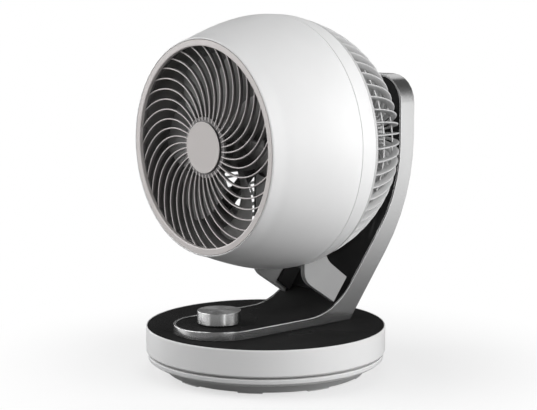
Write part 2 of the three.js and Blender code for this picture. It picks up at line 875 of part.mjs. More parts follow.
function forkPlinth() {
  const foot = new THREE.Shape([
    onLean(plinthStart, -past), onLean(plinthEnd, -past),
    onLean(plinthEnd, plinthHeight), onLean(plinthStart, plinthHeight),
  ]);
  const ear = new THREE.Shape([
    onLean(earStart, 0), onLean(plinthEnd, 0), onLean(plinthEnd, plinthHeight),
    onLean(earEnd, earHeight), onLean(earStart, earHeight),
  ]);
  const earInner = plinthHalfWidth - earThickness;
  const bodies = [slabX(foot, -plinthHalfWidth, plinthHalfWidth)];
  for (const side of [-1, 1]) bodies.push(slabX(ear, side * earInner, side * plinthHalfWidth));
  const arm = armSolid({ front: panelRecess - fit, side: -past });
  return cut(join(...bodies), arm);
}

// ---------------------------------------------------------------- head casing

function shellCurve() {
  const curve = new THREE.CubicBezierCurve(
    new THREE.Vector2(shellFrontRadius, shellFrontY),
    new THREE.Vector2(shellCurveRadius, shellCurveY),
    new THREE.Vector2(headRadius, shellLeadY),
    new THREE.Vector2(headRadius, shellWidestY),
  );
  return curve.getPoints(shellSteps);
}

function frontShell() {
  const outer = shellCurve();
  const rearY = seamY - seamGap / 2;
  const seamRadius = headRadius - seamDrop;
  const lipRear = shellFrontY + shellLipDepth;
  const inner = outer.filter((point) => point.y > lipRear + shellWall);
  return turnedY([
    ...outer.map((point) => [point.x, point.y]),
    [seamRadius, rearY], [seamRadius - shellWall, rearY],
    ...inner.reverse().map((point) => [point.x - shellWall, point.y]),
    [shellMouth, lipRear], [shellMouth, shellFrontY],
  ]);
}

// The space that the fork's strut sweeps through the head, grown by a margin.
function slotSector(side, margin) {
  const half = forkDepth / 2 + slotClearance + margin;
  const alongY = Math.sin(tiltRange);
  const alongZ = -Math.cos(tiltRange);
  const swung = (reach) => new THREE.Vector2(
    pivotY + reach * alongY - half * alongZ,
    reach * alongZ + half * alongY,
  );
  const outline = new THREE.Shape([
    new THREE.Vector2(pivotY - half, -slotNear), new THREE.Vector2(pivotY - half, -slotFar),
    swung(slotFar), swung(slotNear),
  ]);
  const inner = forkInnerX - slotSide - margin;
  const outer = coverOuterX + slotSide + margin;
  return slabX(outline, side * inner, side * outer);
}

function rearBand() {
  const wallAt = (radius) => radius - shellWall;
  const seamRadius = headRadius - seamDrop;
  const midRadius = headRadius - rearBandMidDrop;
  const flangeRear = bandFrontY + rearFlangeThickness;
  const band = turnedY([
    [rearFlangeInner, bandFrontY], [seamRadius, bandFrontY], [midRadius, rearBandMidY],
    [(midRadius + shellRearRadius) / 2 + rearBandBulge, (rearBandMidY + shellRearY) / 2 + rearBandBulgeY],
    [shellRearRadius, shellRearY], [wallAt(shellRearRadius), shellRearY],
    [wallAt(midRadius), rearBandMidY], [wallAt(seamRadius), flangeRear], [rearFlangeInner, flangeRear],
  ]);
  return cut(band, slotSector(-1, 0), slotSector(1, 0));
}

function frontBezel() {
  return turnedY([
    [bezelInner, bezelFrontY + bezelEdge], [bezelInner + bezelEdge, bezelFrontY], [bezelOuter, bezelFrontY],
    [bezelOuter, grilleFrontY - fit], [bezelInner, grilleFrontY - fit],
  ]);
}

function ribTurn(radius) {
  const out = radius - ribTurnRadius;
  return THREE.MathUtils.degToRad(ribTurnStart + ribTurnRate * out + ribTurnGrowth * out * out);
}

// Half the angle that a rib covers on a circle, wider where the rib leans.
function ribHalfAngle(radius) {
  const rate = THREE.MathUtils.degToRad(ribTurnRate + 2 * ribTurnGrowth * (radius - ribTurnRadius));
  return (ribWidth / 2) * Math.hypot(1, radius * rate) / radius;
}

function grilleGap(index) {
  const pitch = (2 * Math.PI) / grilleRibs;
  const inner = [];
  const outer = [];
  for (let step = 0; step <= ribSteps; step += 1) {
    const radius = grilleHubRadius + ((grilleOpening - grilleHubRadius) * step) / ribSteps;
    const start = ribTurn(radius) + index * pitch + ribHalfAngle(radius);
    const end = ribTurn(radius) + (index + 1) * pitch - ribHalfAngle(radius);
    inner.push(polarPoint(radius, start));
    outer.push(polarPoint(radius, end));
  }
  return new THREE.Path([...inner, ...outer.reverse()]);
}

function frontGrille() {
  const shape = new THREE.Shape(circlePoints(bezelOuter, ringSides));
  for (let index = 0; index < grilleRibs; index += 1) shape.holes.push(grilleGap(index));
  shape.holes.push(new THREE.Path(circlePoints(grilleHubBore, smallSides)));
  return slabY(shape, grilleFrontY, grilleRearY);
}

function hubDisc() {
  const rear = grilleFrontY - fit;
  const front = rear - hubDiscThickness;
  return turnedY([
    [0, front], [hubDiscRadius - hubDiscEdge, front], [hubDiscRadius, front + hubDiscEdge],
    [hubDiscRadius, rear], [0, rear],
  ], motorSides);
}

function airDuct() {
  const outer = ductRadius + ductWall;
  const flangeFront = ductRearY - ductFlange;
  return turnedY([
    [ductRadius, ductFrontY], [outer, ductFrontY], [outer, flangeFront],
    [ductFlangeRadius, flangeFront], [ductFlangeRadius, ductRearY], [ductRadius, ductRearY],
  ]);
}

// ---------------------------------------------------------------- motor and its mount

function mountArm(turn) {
  const inner = motorRadius + fit + mountCupWall / 2;
  const outer = mountRingInner + mountArmBite;
  const arm = block(inner, outer, mountRingFront, mountRingRear, -mountArmWidth / 2, mountArmWidth / 2);
  return arm.rotateY(turn);
}

function trunnion(side) {
  const shape = new THREE.Shape();
  const half = forkDepth / 2;
  shape.moveTo(mountRingRear, -half);
  shape.lineTo(pivotY, -half);
  shape.absarc(pivotY, 0, half, -Math.PI / 2, Math.PI / 2, false);
  shape.lineTo(mountRingRear, half);
  return slabX(shape, side * trunnionInnerX, side * trunnionOuterX);
}

function motorMount() {
  const ring = turnedY([
    [mountRingInner, mountRingFront], [mountRingOuter, mountRingFront],
    [mountRingOuter, mountRingRear], [mountRingInner, mountRingRear],
  ]);
  const cupInner = motorRadius + fit;
  const cupOuter = cupInner + mountCupWall;
  const cup = turnedY([
    [cupInner, mountCupFront], [cupOuter, mountCupFront], [cupOuter, mountCupRear],
    [cupInner, mountCupRear],
  ], motorSides);
  const arms = [1, 3, 5, 7].map((eighth) => mountArm((eighth * Math.PI) / 4));
  const body = join(ring, cup, ...arms, trunnion(-1), trunnion(1));
  return cut(body, rodX(pinTailRadius + fit, -armHalfWidth, armHalfWidth, pivotY, 0));
}

function motorBody() {
  const bore = motorShaftRadius + fit;
  const bossFront = motorFront - motorBossLength;
  return turnedY([
    [0, motorShaftRear + fit], [bore, motorShaftRear + fit], [bore, bossFront],
    [motorBossRadius, bossFront], [motorBossRadius, motorFront], [motorRadius, motorFront],
    [motorRadius, motorRear], [0, motorRear],
  ], motorSides);
}

function motorCap() {
  const front = motorRear + fit;
  const rear = front + motorCapDepth;
  return turnedY([[0, front], [motorCapRadius, front], [motorCapRadius - motorCapTaper, rear], [0, rear]],
    motorSides);
}

function tiltPin(side) {
  const headInner = forkOuterX + fit;
  const profile = [
    [0, trunnionInnerX], [pinTailRadius, trunnionInnerX], [pinTailRadius, pinShoulderX],
    [pinRadius, pinShoulderX], [pinRadius, headInner], [pinHeadRadius, headInner],
    [pinHeadRadius, headInner + pinHeadDepth], [0, headInner + pinHeadDepth],
  ];
  return turnedX(profile.map(([radius, x]) => [radius, side * x])).translate(0, pivotY, 0);
}

function frictionWasher(side) {
  const bore = pinRadius + fit;
  const outer = pinShoulderX + frictionThickness;
  const profile = [
    [bore, pinShoulderX], [frictionRadius, pinShoulderX], [frictionRadius, outer], [bore, outer],
  ];
  return turnedX(profile.map(([radius, x]) => [radius, side * x])).translate(0, pivotY, 0);
}

// ---------------------------------------------------------------- rear grille

// A place on the dome's meridian; the angle grows from the shell to the rear hub.
function domePoint(angle, depth) {
  const radius = (domeRadius - depth) * Math.cos(angle);
  const y = domeCentreY + (domeLength - depth) * Math.sin(angle);
  return [radius, y];
}

function domeAngleAtY(y) {
  return Math.asin((y - domeCentreY) / domeLength);
}

function finProfile() {
  const first = domeAngleAtY(shellRearY + fit + finFlangeDepth / 2);
  const last = Math.acos((rearHubRadius - finHubBite) / domeRadius);
  const outer = [];
  const inner = [];
  for (let step = 0; step <= finSteps; step += 1) {
    const angle = first + ((last - first) * step) / finSteps;
    outer.push(domePoint(angle, 0));
    inner.push(domePoint(angle, finDepth));
  }
  return { outer, inner };
}

function fin(turn) {
  const { outer, inner } = finProfile();
  const shape = new THREE.Shape([...outer, ...inner.reverse()].map(([r, y]) => new THREE.Vector2(r, y)));
  return extruded(shape, finThickness).translate(0, 0, -finThickness / 2).rotateY(turn);
}

function hoop(degrees) {
  const [radius, y] = domePoint(THREE.MathUtils.degToRad(degrees), finDepth);
  const half = hoopWidth / 2;
  return turnedY([[radius - half, y - half], [radius + hoopBite, y], [radius - half, y + half]], finCount);
}

function slotFrame(side) {
  const { outer, inner } = finProfile();
  const shell = turnedY([...outer, ...inner.reverse()]);
  return meet(shell, slotSector(side, slotRail));
}

function rearGrille() {
  const seatY = shellRearY + fit;
  const flangeOuter = shellRearRadius;
  const flange = turnedY([
    [finFlangeInner, seatY], [flangeOuter, seatY], [flangeOuter, seatY + finFlangeDepth],
    [finFlangeInner, seatY + finFlangeDepth],
  ]);
  const hubFrontY = hubRearY - rearHubCrown - rearHubDepth;
  const hub = turnedY([
    [0, hubFrontY], [rearHubRadius, hubFrontY], [rearHubRadius, hubRearY], [0, hubRearY],
  ], finCount);
  const fins = [];
  for (let index = 0; index < finCount; index += 1) fins.push(fin((index * 2 * Math.PI) / finCount));
  const cage = join(flange, hub, hoop(outerHoopAngle), hoop(innerHoopAngle), slotFrame(-1), slotFrame(1),
    ...fins);
  return cut(cage, slotSector(-1, 0), slotSector(1, 0));
}

// ---------------------------------------------------------------- impeller

// One closed blade: a grid over radius and chord, with a front and a rear skin.
function blade(turn) {
  const tip = ductRadius - bladeTipGap;
  const root = impellerHubRadius - bladeRootBite;
  const middleY = (impellerFront + impellerRear) / 2;
  const positions = [];
  for (const skin of [1, -1]) {
    for (let i = 0; i <= bladeSteps; i += 1) {
      const share = i / bladeSteps;
      const radius = root + (tip - root) * share;
      const chord = bladeRootChord + (bladeTipChord - bladeRootChord) * share;
      const rise = bladeRootRise + (bladeTipRise - bladeRootRise) * share;
      const sweep = turn + THREE.MathUtils.degToRad(bladeSweep) * share * share;
      for (let j = 0; j <= chordSteps; j += 1) {
        const across = j / chordSteps - 0.5;
        const angle = sweep + (chord * across) / radius;
        const camber = (0.25 - across * across) * rise * bladeCamber;
        const edge = bladeThickness * (bladeMiddle - Math.abs(across) * bladeTaper);
        const y = middleY + rise * across - camber + skin * edge;
        positions.push(radius * Math.sin(angle), y, radius * Math.cos(angle));
      }
    }
  }
  return closedSheet(positions, bladeSteps + 1, chordSteps + 1);
}

// Two skins of rows times columns points, joined round their four edges.
function closedSheet(positions, rows, columns) {
  const skin = rows * columns;
  const index = [];
  const at = (row, column, side) => side * skin + row * columns + column;
  const quad = (a, b, c, d) => index.push(a, b, c, a, c, d);
  for (let row = 0; row < rows - 1; row += 1) {
    for (let column = 0; column < columns - 1; column += 1) {
      quad(at(row, column, 0), at(row + 1, column, 0), at(row + 1, column + 1, 0), at(row, column + 1, 0));
      quad(at(row, column, 1), at(row, column + 1, 1), at(row + 1, column + 1, 1), at(row + 1, column, 1));
    }
    quad(at(row, 0, 0), at(row, 0, 1), at(row + 1, 0, 1), at(row + 1, 0, 0));
    quad(at(row, columns - 1, 0), at(row + 1, columns - 1, 0), at(row + 1, columns - 1, 1),
      at(row, columns - 1, 1));
  }
  for (let column = 0; column < columns - 1; column += 1) {
    quad(at(0, column, 0), at(0, column + 1, 0), at(0, column + 1, 1), at(0, column, 1));
    quad(at(rows - 1, column, 0), at(rows - 1, column, 1), at(rows - 1, column + 1, 1),
      at(rows - 1, column + 1, 0));
  }
  const geometry = new THREE.BufferGeometry();
  geometry.setAttribute('position', new THREE.Float32BufferAttribute(positions, 3));
  geometry.setIndex(index);
  return geometry;
}

function impeller() {
  const bore = motorShaftRadius + fit;
  const inner = impellerHubRadius - impellerWall;
  const face = impellerFront + impellerWall;
  const sleeve = bore + impellerSleeve;
  const hub = turnedY([
    [bore, impellerFront], [impellerHubRadius - impellerNose, impellerFront],
    [impellerHubRadius, impellerFront + impellerNose], [impellerHubRadius, impellerRear],
    [inner, impellerRear], [inner, face + impellerNose], [inner - impellerNose, face],
    [sleeve, face], [sleeve, impellerFront + impellerSleeveLength],
    [bore, impellerFront + impellerSleeveLength],
  ], motorSides);
  const blades = [];
  for (let index = 0; index < bladeCount; index += 1) blades.push(blade((index * 2 * Math.PI) / bladeCount));
  const inside = turnedY([
    [0, impellerFront - past], [bore, impellerFront - past], [bore, face + past],
    [inner, face + past], [inner, impellerRear + past], [0, impellerRear + past],
  ], motorSides);
  return join(hub, cut(join(...blades), inside));
}

function motorShaft() {
  return turnedY([
    [0, motorShaftFront], [motorShaftRadius, motorShaftFront], [motorShaftRadius, motorShaftRear],
    [0, motorShaftRear],
  ], smallSides);
}

function impellerNut() {
  const bore = motorShaftRadius + fit;
  const rear = impellerFront - fit;
  const front = rear - nutDepth;
  return turnedY([
    [0, front], [nutRadius - nutEdge, front], [nutRadius, front + nutEdge], [nutRadius, rear], [bore, rear],
    [bore, motorShaftFront - fit], [0, motorShaftFront - fit],
  ], smallSides);
}

// ---------------------------------------------------------------- assembly

const fan = new THREE.Group();
const head = new THREE.Group();
head.position.z = axisZ;
fan.add(head);

function piece(group, name, geometry, material) {
  const mesh = new THREE.Mesh(geometryOf(solidOf(geometry)), material);
  mesh.name = name;
  group.add(mesh);
}

piece(fan, 'foot_tray', footTray(), greyPlastic);
piece(fan, 'lower_band', lowerBand(), whitePlastic);
piece(fan, 'counterweight', counterweight(), castIron);
piece(fan, 'cord_inlet', cordInlet(), darkPlastic);
for (let index = 0; index < padCount; index += 1) {
  piece(fan, `foot_${index + 1}`, footPad((index * 2 * Math.PI) / padCount), rubber);
}
piece(fan, 'spindle', spindle(), steel);
piece(fan, 'sun_gear', sunGear(), gearPlastic);
piece(fan, 'retaining_washer', retainingWasher(), steel);
piece(fan, 'spindle_screw', spindleScrew(), steel);
piece(fan, 'thrust_ring', thrustRing(), gearPlastic);

piece(fan, 'swing_pinion', swingPinion(), gearPlastic);
piece(fan, 'swing_motor', swingMotor(), steel);
piece(fan, 'base_ring', baseRing(), whitePlastic);
piece(fan, 'turntable_plate', carrierPlate(), greyPlastic);
piece(fan, 'top_plate', topPlate(), glossBlack);
piece(fan, 'control_board', controlBoard(), boardGreen);
piece(fan, 'motor_capacitor', motorCapacitor(), darkPlastic);
boltPlaces().forEach(([x, y], index) => piece(fan, `arm_bolt_${index + 1}`, armBolt(x, y), steel));

piece(fan, 'switch_body', switchBody(), darkPlastic);
piece(fan, 'knob_shaft', knobShaft(), steel);
piece(fan, 'knob', knob(), brushedSilver);

piece(fan, 'arm_frame', armFrame(), brushedSilver);
piece(fan, 'arm_front_panel', armFrontPanel(), glossBlack);
piece(fan, 'arm_rear_panel', armRearPanel(), glossBlack);
piece(fan, 'arm_spine', armSpine(), steel);
piece(fan, 'heel_block', heelBlock(), castIron);

piece(fan, 'fork_plinth', forkPlinth(), glossBlack);
for (const [side, label] of [[-1, 'left'], [1, 'right']]) {
  piece(fan, `fork_${label}`, forkPlate(side), paleGreyPlastic);
  piece(fan, `fork_cover_${label}`, forkCover(side), paleGreyPlastic);
}

piece(head, 'front_shell', frontShell(), whitePlastic);
piece(head, 'rear_band', rearBand(), whitePlastic);
piece(head, 'front_bezel', frontBezel(), silverPaint);
piece(head, 'front_grille', frontGrille(), silverPaint);
piece(head, 'hub_disc', hubDisc(), silverPaint);
piece(head, 'air_duct', airDuct(), darkPlastic);
piece(head, 'motor_mount', motorMount(), darkPlastic);
piece(head, 'motor_body', motorBody(), steel);
piece(head, 'motor_cap', motorCap(), darkPlastic);
piece(head, 'rear_grille', rearGrille(), paleGreyPlastic);
for (const [side, label] of [[-1, 'left'], [1, 'right']]) {
  piece(head, `tilt_pin_${label}`, tiltPin(side), steel);
  piece(head, `friction_washer_${label}`, frictionWasher(side), steel);
}
piece(head, 'impeller', impeller(), darkPlastic);
piece(head, 'motor_shaft', motorShaft(), steel);
piece(head, 'impeller_nut', impellerNut(), darkPlastic);

// The origin stands on the floor below the middle of the overall box.
fan.position.y = -(uprightRearY - ringRadius) / 2;

export default fan;
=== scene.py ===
# %% [markdown]
# # Dressing an air circulator fan
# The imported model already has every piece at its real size, in metres, with +Z up and the fan
# blowing towards -Y. This lesson keeps that frame fixed and gives it its looks: fine surfaces
# where the solids are faceted, a procedural finish on everything, a floor, lamps and a camera.

# %% Load the fixed frame
import json
import math

import bmesh
import bpy
import numpy as np
from mathutils import Matrix, Vector


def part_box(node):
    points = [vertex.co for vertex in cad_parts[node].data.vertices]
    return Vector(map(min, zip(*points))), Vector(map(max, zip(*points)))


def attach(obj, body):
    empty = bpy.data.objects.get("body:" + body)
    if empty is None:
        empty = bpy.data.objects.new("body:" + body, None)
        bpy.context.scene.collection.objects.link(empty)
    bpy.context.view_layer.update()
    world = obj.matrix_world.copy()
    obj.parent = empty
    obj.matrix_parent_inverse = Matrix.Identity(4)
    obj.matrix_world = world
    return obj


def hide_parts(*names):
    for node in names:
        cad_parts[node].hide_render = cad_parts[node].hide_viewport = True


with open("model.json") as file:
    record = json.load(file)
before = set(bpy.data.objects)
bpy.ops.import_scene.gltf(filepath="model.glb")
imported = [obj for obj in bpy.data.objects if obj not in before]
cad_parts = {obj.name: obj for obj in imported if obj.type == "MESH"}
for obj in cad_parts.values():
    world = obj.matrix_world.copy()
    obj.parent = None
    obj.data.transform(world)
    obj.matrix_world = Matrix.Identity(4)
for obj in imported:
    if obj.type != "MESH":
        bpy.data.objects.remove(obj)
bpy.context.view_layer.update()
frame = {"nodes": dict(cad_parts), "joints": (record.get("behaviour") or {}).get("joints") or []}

# %% [markdown]
# ## Reading places from the frame
# A dressed piece must sit where its solid sits. So places come from the boxes of the solids
# instead of being typed twice: the axis of the head, the turn axis of the base, and so on.

# %% Places
mm = 0.001


def low(node):
    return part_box(node)[0]


def high(node):
    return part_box(node)[1]


def middle(node):
    return (low(node) + high(node)) / 2


def front_rear(node):
    """Where a node of the head starts and ends along the fan axis, in millimetres."""
    return low(node).y / mm, high(node).y / mm


def bottom_top(node):
    return low(node).z / mm, high(node).z / mm


def outer_radius(node):
    """Half the width of a round node that stands on the middle plane, in millimetres."""
    return high(node).x / mm


axis_z = middle("front_bezel").z
turn_y = middle("base_ring").y
pivot_y = middle("tilt_pin_left").y / mm
print("fan axis at", round(axis_z / mm, 1), "mm, turn axis at y", round(turn_y / mm, 1), "mm")

# %% [markdown]
# ## Surfaces as grids
# Nearly every moulded piece here is a surface of two parameters. A grid of points is worked out
# with numpy in one go, and one list of four-sided faces joins neighbours in the grid. The same
# helpers then serve the shell, the ribs, the fins and the blades.


# %% Grid surfaces
def round_turn(steps):
    """Angles once round, in equal steps and without the last one, which is the first again."""
    return np.linspace(0, 2 * np.pi, steps, endpoint=False)


def grid_faces(rows, columns, wrap_rows, wrap_columns):
    """Corners (r, c), (r, c+1), (r+1, c+1), (r+1, c) of each cell; a wrapped direction closes
    on itself."""
    r, c = np.meshgrid(np.arange(rows if wrap_rows else rows - 1),
                       np.arange(columns if wrap_columns else columns - 1), indexing="ij")
    r_next, c_next = (r + 1) % rows, (c + 1) % columns
    corners = [r * columns + c, r * columns + c_next,
               r_next * columns + c_next, r_next * columns + c]
    return np.stack(corners, -1).reshape(-1, 4)


# %% Objects from grids
def in_scene(name, data):
    made = bpy.data.objects.new(name, data)
    bpy.context.scene.collection.objects.link(made)
    return made


def new_object(points, faces):
    """Points is an (n, 3) array and faces an (m, 4) array of indices."""
    mesh = bpy.data.meshes.new("grid")
    mesh.from_pydata(points.reshape(-1, 3).tolist(), [], faces.tolist())
    return in_scene("grid", mesh)


def welded(piece, distance, mend, smooth_angle):
    """Welds points nearer than the distance, mends the mesh and marks edges that are sharper
    than the angle."""
    shape = bmesh.new()
    shape.from_mesh(piece.data)
    bmesh.ops.remove_doubles(shape, verts=shape.verts, dist=distance)
    mend(shape)
    shape.to_mesh(piece.data)
    shape.free()
    piece.data.shade_smooth()
    piece.data.set_sharp_from_angle(angle=math.radians(smooth_angle))
    return piece


def faces_out(shape):
    bmesh.ops.recalc_face_normals(shape, faces=shape.faces)


def tidy_mesh(piece, smooth_angle=40):
    """Closes the poles and seams of a grid and turns its faces outwards."""
    return welded(piece, 1e-6, faces_out, smooth_angle)


def surface(grids, wrap_rows=False, wrap_columns=False, smooth_angle=40):
    """One object from one grid (rows, columns, 3) or from a stack of equal grids (copies,
    rows, columns, 3)."""
    grids = grids if grids.ndim == 4 else grids[None]
    copies, rows, columns, _ = grids.shape
    cells = grid_faces(rows, columns, wrap_rows, wrap_columns)
    offsets = (np.arange(copies) * rows * columns)[:, None, None]
    return tidy_mesh(new_object(grids, (cells[None] + offsets).reshape(-1, 4)), smooth_angle)


# %% [markdown]
# ## Turned pieces and soft corners
# Rings, discs and shells are one profile carried round an axis. Real mouldings have no sharp
# corner, and it is the small rounding that catches a line of light. So each profile is written
# as corners with a radius, and the radius is turned into a short arc.

# %% Profiles
hold = 0.15


def softened(corners, steps=5):
    """Corners are rows of (radius, height, rounding). An arc of the rounding r touches both
    sides of a corner at r / tan(h) from it, where h is half the inner angle. The points run
    along the arc by slerp. One more point on each side, a share of r past the arc, holds the
    shading of the straight parts straight."""
    corners = np.array(corners, float)
    place, size = corners[:, :2], corners[:, 2:3]
    to_last = np.roll(place, 1, 0) - place
    to_next = np.roll(place, -1, 0) - place
    to_last /= np.linalg.norm(to_last, axis=1, keepdims=True)
    to_next /= np.linalg.norm(to_next, axis=1, keepdims=True)
    half = np.arccos(np.clip((to_last * to_next).sum(1, keepdims=True), -1, 0.9999)) / 2
    bisector = to_last + to_next
    length = np.linalg.norm(bisector, axis=1, keepdims=True)
    size = np.where(length < 1e-6, 0, size)
    centre = place + bisector / np.maximum(length, 1e-9) * size / np.sin(half)
    start = place + to_last * size / np.tan(half) - centre
    end = place + to_next * size / np.tan(half) - centre
    sweep = np.maximum(np.pi - 2 * half, 1e-6)[..., None]
    share = np.linspace(0, 1, steps)[None, :, None]
    arc = (np.sin((1 - share) * sweep) * start[:, None]
           + np.sin(share * sweep) * end[:, None]) / np.sin(sweep)
    before, after = start + to_last * size * hold, end + to_next * size * hold
    arc = np.concatenate([before[:, None], arc, after[:, None]], 1)
    return (centre[:, None] + arc).reshape(-1, 2)


def turned(profile, sides=192, axis="Y", y=0.0, z=0.0):
    """The profile point (r, h) at angle a becomes x = r sin a with z = r cos a about an axis
    along Y, or y = -r cos a about an axis along Z. h is the place along the axis. All in
    millimetres."""
    angle = round_turn(sides)[None, :]
    radius, height = profile[:, :1], profile[:, 1:]
    across, up = radius * np.sin(angle), radius * np.cos(angle)
    along = np.broadcast_to(height, across.shape)
    rows = [across, along, up] if axis == "Y" else [across, -up, along]
    return np.stack(rows, -1) * mm + np.array([0.0, y, z])


def head_ring(corners, sides=192, steps=5):
    """A closed profile of soft corners carried once round the fan axis."""
    return surface(turned(softened(corners, steps), sides, z=axis_z), True, True)


def base_ring(corners, sides=256, y=turn_y):
    """The same round an upright axis, which is the turn axis unless y says otherwise."""
    return surface(turned(softened(corners), sides, "Z", y), True, True)


# %% [markdown]
# ## Fine copies of the solids
# The arm and the fork already have their true shape in the frame. For these a copy of the solid
# is welded, its flat facets are joined again, and a narrow bevel rounds the edges.


# %% Fine copies
def join_facets(shape):
    bmesh.ops.dissolve_limit(shape, angle_limit=math.radians(0.5),
                             verts=shape.verts, edges=shape.edges)


def refined(node, bevel, segments=3):
    """A welded copy of a solid with its edges rounded by a bevel of the given width in
    millimetres."""
    piece = in_scene("copy", frame["nodes"][node].data.copy())
    welded(piece, 1e-5, join_facets, 35)
    soft = piece.modifiers.new("soft_edges", "BEVEL")
    soft.width = bevel * mm
    soft.segments = segments
    soft.limit_method = "ANGLE"
    soft.angle_limit = math.radians(32)
    soft.harden_normals = True
    return piece


def settled(piece):
    """Keeps the result of the piece's modifiers as a plain mesh."""
    bpy.context.view_layer.update()
    finished = piece.evaluated_get(bpy.context.evaluated_depsgraph_get())
    result = bpy.data.meshes.new_from_object(finished)
    piece.modifiers.clear()
    piece.data = result
    return piece


def notch(piece, cutter):
    """Takes the cutter out of the piece and keeps the result as a plain mesh."""
    cut = piece.modifiers.new("notch", "BOOLEAN")
    cut.operation = "DIFFERENCE"
    cut.solver = "EXACT"
    cut.object = cutter
    settled(piece)
    bpy.data.objects.remove(cutter)


# %% [markdown]
# ## Finishes
# Moulded plastic is never one flat number. Its colour drifts a little, its gloss changes where
# it was polished or handled, and its skin has a fine grain. Each finish below starts from the
# same three helpers: a drifting tone, a drifting roughness and a bump, all on Object coordinates.

# %% Shader nodes
drift_from, drift_to = 0.3, 0.7


def add_node(tree, kind, inputs=None, **settings):
    """A new shader node. Each input gets a value, or a link where another node's output is
    given."""
    made = tree.nodes.new("ShaderNode" + kind)
    for key, value in settings.items():
        setattr(made, key, value)
    for key, value in (inputs or {}).items():
        if isinstance(value, bpy.types.NodeSocket):
            tree.links.new(value, made.inputs[key])
        else:
            made.inputs[key].default_value = value
    return made


def new_finish(name):
    finish = bpy.data.materials.new(name)
    finish.use_nodes = True
    return finish, finish.node_tree


def feed(tree, socket, output):
    """Links an output to a socket of the surface shader."""
    tree.links.new(output, tree.nodes["Principled BSDF"].inputs[socket])


def cloud(tree, size, detail=3.0, stretch=(1, 1, 1)):
    """Noise whose blobs are about size millimetres across, on Object coordinates."""
    place = add_node(tree, "TexCoord").outputs["Object"]
    turn = add_node(tree, "Mapping", {"Vector": place, "Scale": stretch}).outputs["Vector"]
    noise = {"Vector": turn, "Scale": 1 / (size * mm), "Detail": detail}
    return add_node(tree, "TexNoise", noise).outputs["Fac"]


# %% Drift and grain
def drift_colour(tree, factor, ends):
    ramp = add_node(tree, "ValToRGB", {"Fac": factor})
    for stop, place, colour in zip(ramp.color_ramp.elements, (drift_from, drift_to), ends):
        stop.position = place
        stop.color = (*colour, 1)
    feed(tree, "Base Color", ramp.outputs["Color"])


def drift_roughness(tree, smooth, rough, size=12):
    span = {"Value": cloud(tree, size, 4), "From Min": drift_from, "From Max": drift_to,
            "To Min": smooth, "To Max": rough}
    feed(tree, "Roughness", add_node(tree, "MapRange", span).outputs["Result"])


def grain(tree, factor, depth):
    """Bump of the given depth in millimetres."""
    bump = add_node(tree, "Bump", {"Height": factor, "Distance": depth * mm})
    feed(tree, "Normal", bump.outputs["Normal"])


# %% Recipes for plastic and metal
def tones(grey, drift, warmth=0.0):
    """The dark and the light end of a grey's drift; warmth lifts red and lowers blue by that
    share."""
    return [tuple(grey * (1 + side * drift) * share for share in (1 + warmth, 1, 1 - warmth))
            for side in (-1, 1)]


def set_sockets(finish, sockets):
    """Numbers that are the same all over go straight to the shader's own sockets."""
    for socket, value in sockets.items():
        finish.node_tree.nodes["Principled BSDF"].inputs[socket].default_value = value


def moulded(name, ends, smooth, rough, grain_size, grain_depth, sockets=None):
    """Moulded plastic: a slow drift of tone and gloss over centimetres, and a fine grain."""
    finish, tree = new_finish(name)
    drift_colour(tree, cloud(tree, 35, 2), ends)
    drift_roughness(tree, smooth, rough)
    grain(tree, cloud(tree, grain_size, 2), grain_depth)
    set_sockets(finish, sockets or {})
    return finish


def brushed(name, ends, smooth, rough, stretch, grain_depth, sockets=None):
    """Brushed metal: the noise is drawn out along the brushing direction."""
    finish, tree = new_finish(name)
    lines = cloud(tree, 0.6, 3, stretch)
    drift_colour(tree, lines, ends)
    drift_roughness(tree, smooth, rough, 9)
    grain(tree, lines, grain_depth)
    set_sockets(finish, {"Metallic": 1.0, **(sockets or {})})
    return finish


# %% [markdown]
# ## The palette
# White casing, warm silver paint on the front, light grey fork and fins, brushed silver on the
# arm and the knob, piano black on top of the base and on the arm, and charcoal inside.

# %% Palette
soft_gloss = {"Specular IOR Level": 0.3}
deep_gloss = {"Metallic": 0.5, "Specular Tint": (0.25, 0.25, 0.25, 1), "Specular IOR Level": 0.0}
turned_grooves = {"Anisotropic": 0.85, "Anisotropic Rotation": 0.25}
silver_ends = [(0.515, 0.485, 0.475), (0.550, 0.520, 0.510)]
green_ends = [(0.02, 0.11, 0.04), (0.03, 0.15, 0.05)]

white_casing = moulded("white_casing", tones(0.80, 0.008), 0.34, 0.38, 3.0, 0.0015, soft_gloss)
white_base = moulded("white_base", tones(0.74, 0.008), 0.34, 0.38, 3.0, 0.0015, soft_gloss)
warm_silver = moulded("warm_silver_paint", silver_ends, 0.42, 0.50, 0.5, 0.003,
                      {"Metallic": 0.15})
pale_grey = moulded("pale_grey_plastic", tones(0.54, 0.03), 0.36, 0.46, 0.9, 0.008)
fork_grey = moulded("fork_grey_plastic", tones(0.31, 0.03), 0.36, 0.48, 0.9, 0.008)
foot_grey = moulded("foot_grey_plastic", tones(0.55, 0.04), 0.50, 0.62, 0.8, 0.015)
charcoal = moulded("charcoal_plastic", tones(0.14, 0.10, 0.03), 0.42, 0.55, 0.9, 0.010)
charcoal_blade = moulded("charcoal_blade", tones(0.17, 0.04, 0.02), 0.35, 0.45, 0.9, 0.008)
piano_black = moulded("piano_black", tones(0.045, 0.10), 0.14, 0.18, 30, 0.001, deep_gloss)
rubber = moulded("rubber", tones(0.48, 0.10), 0.70, 0.85, 0.6, 0.020)
acetal = moulded("natural_acetal", tones(0.72, 0.02, 0.04), 0.40, 0.50, 1.0, 0.006)
cast_iron = moulded("cast_iron", tones(0.11, 0.15), 0.60, 0.75, 1.2, 0.060, {"Metallic": 0.6})
board_green = moulded("board_green", green_ends, 0.35, 0.50, 3, 0.010)
silver_arm = brushed("silver_arm", tones(0.64, 0.02), 0.20, 0.22, (1, 1, 0.03), 0.0003)
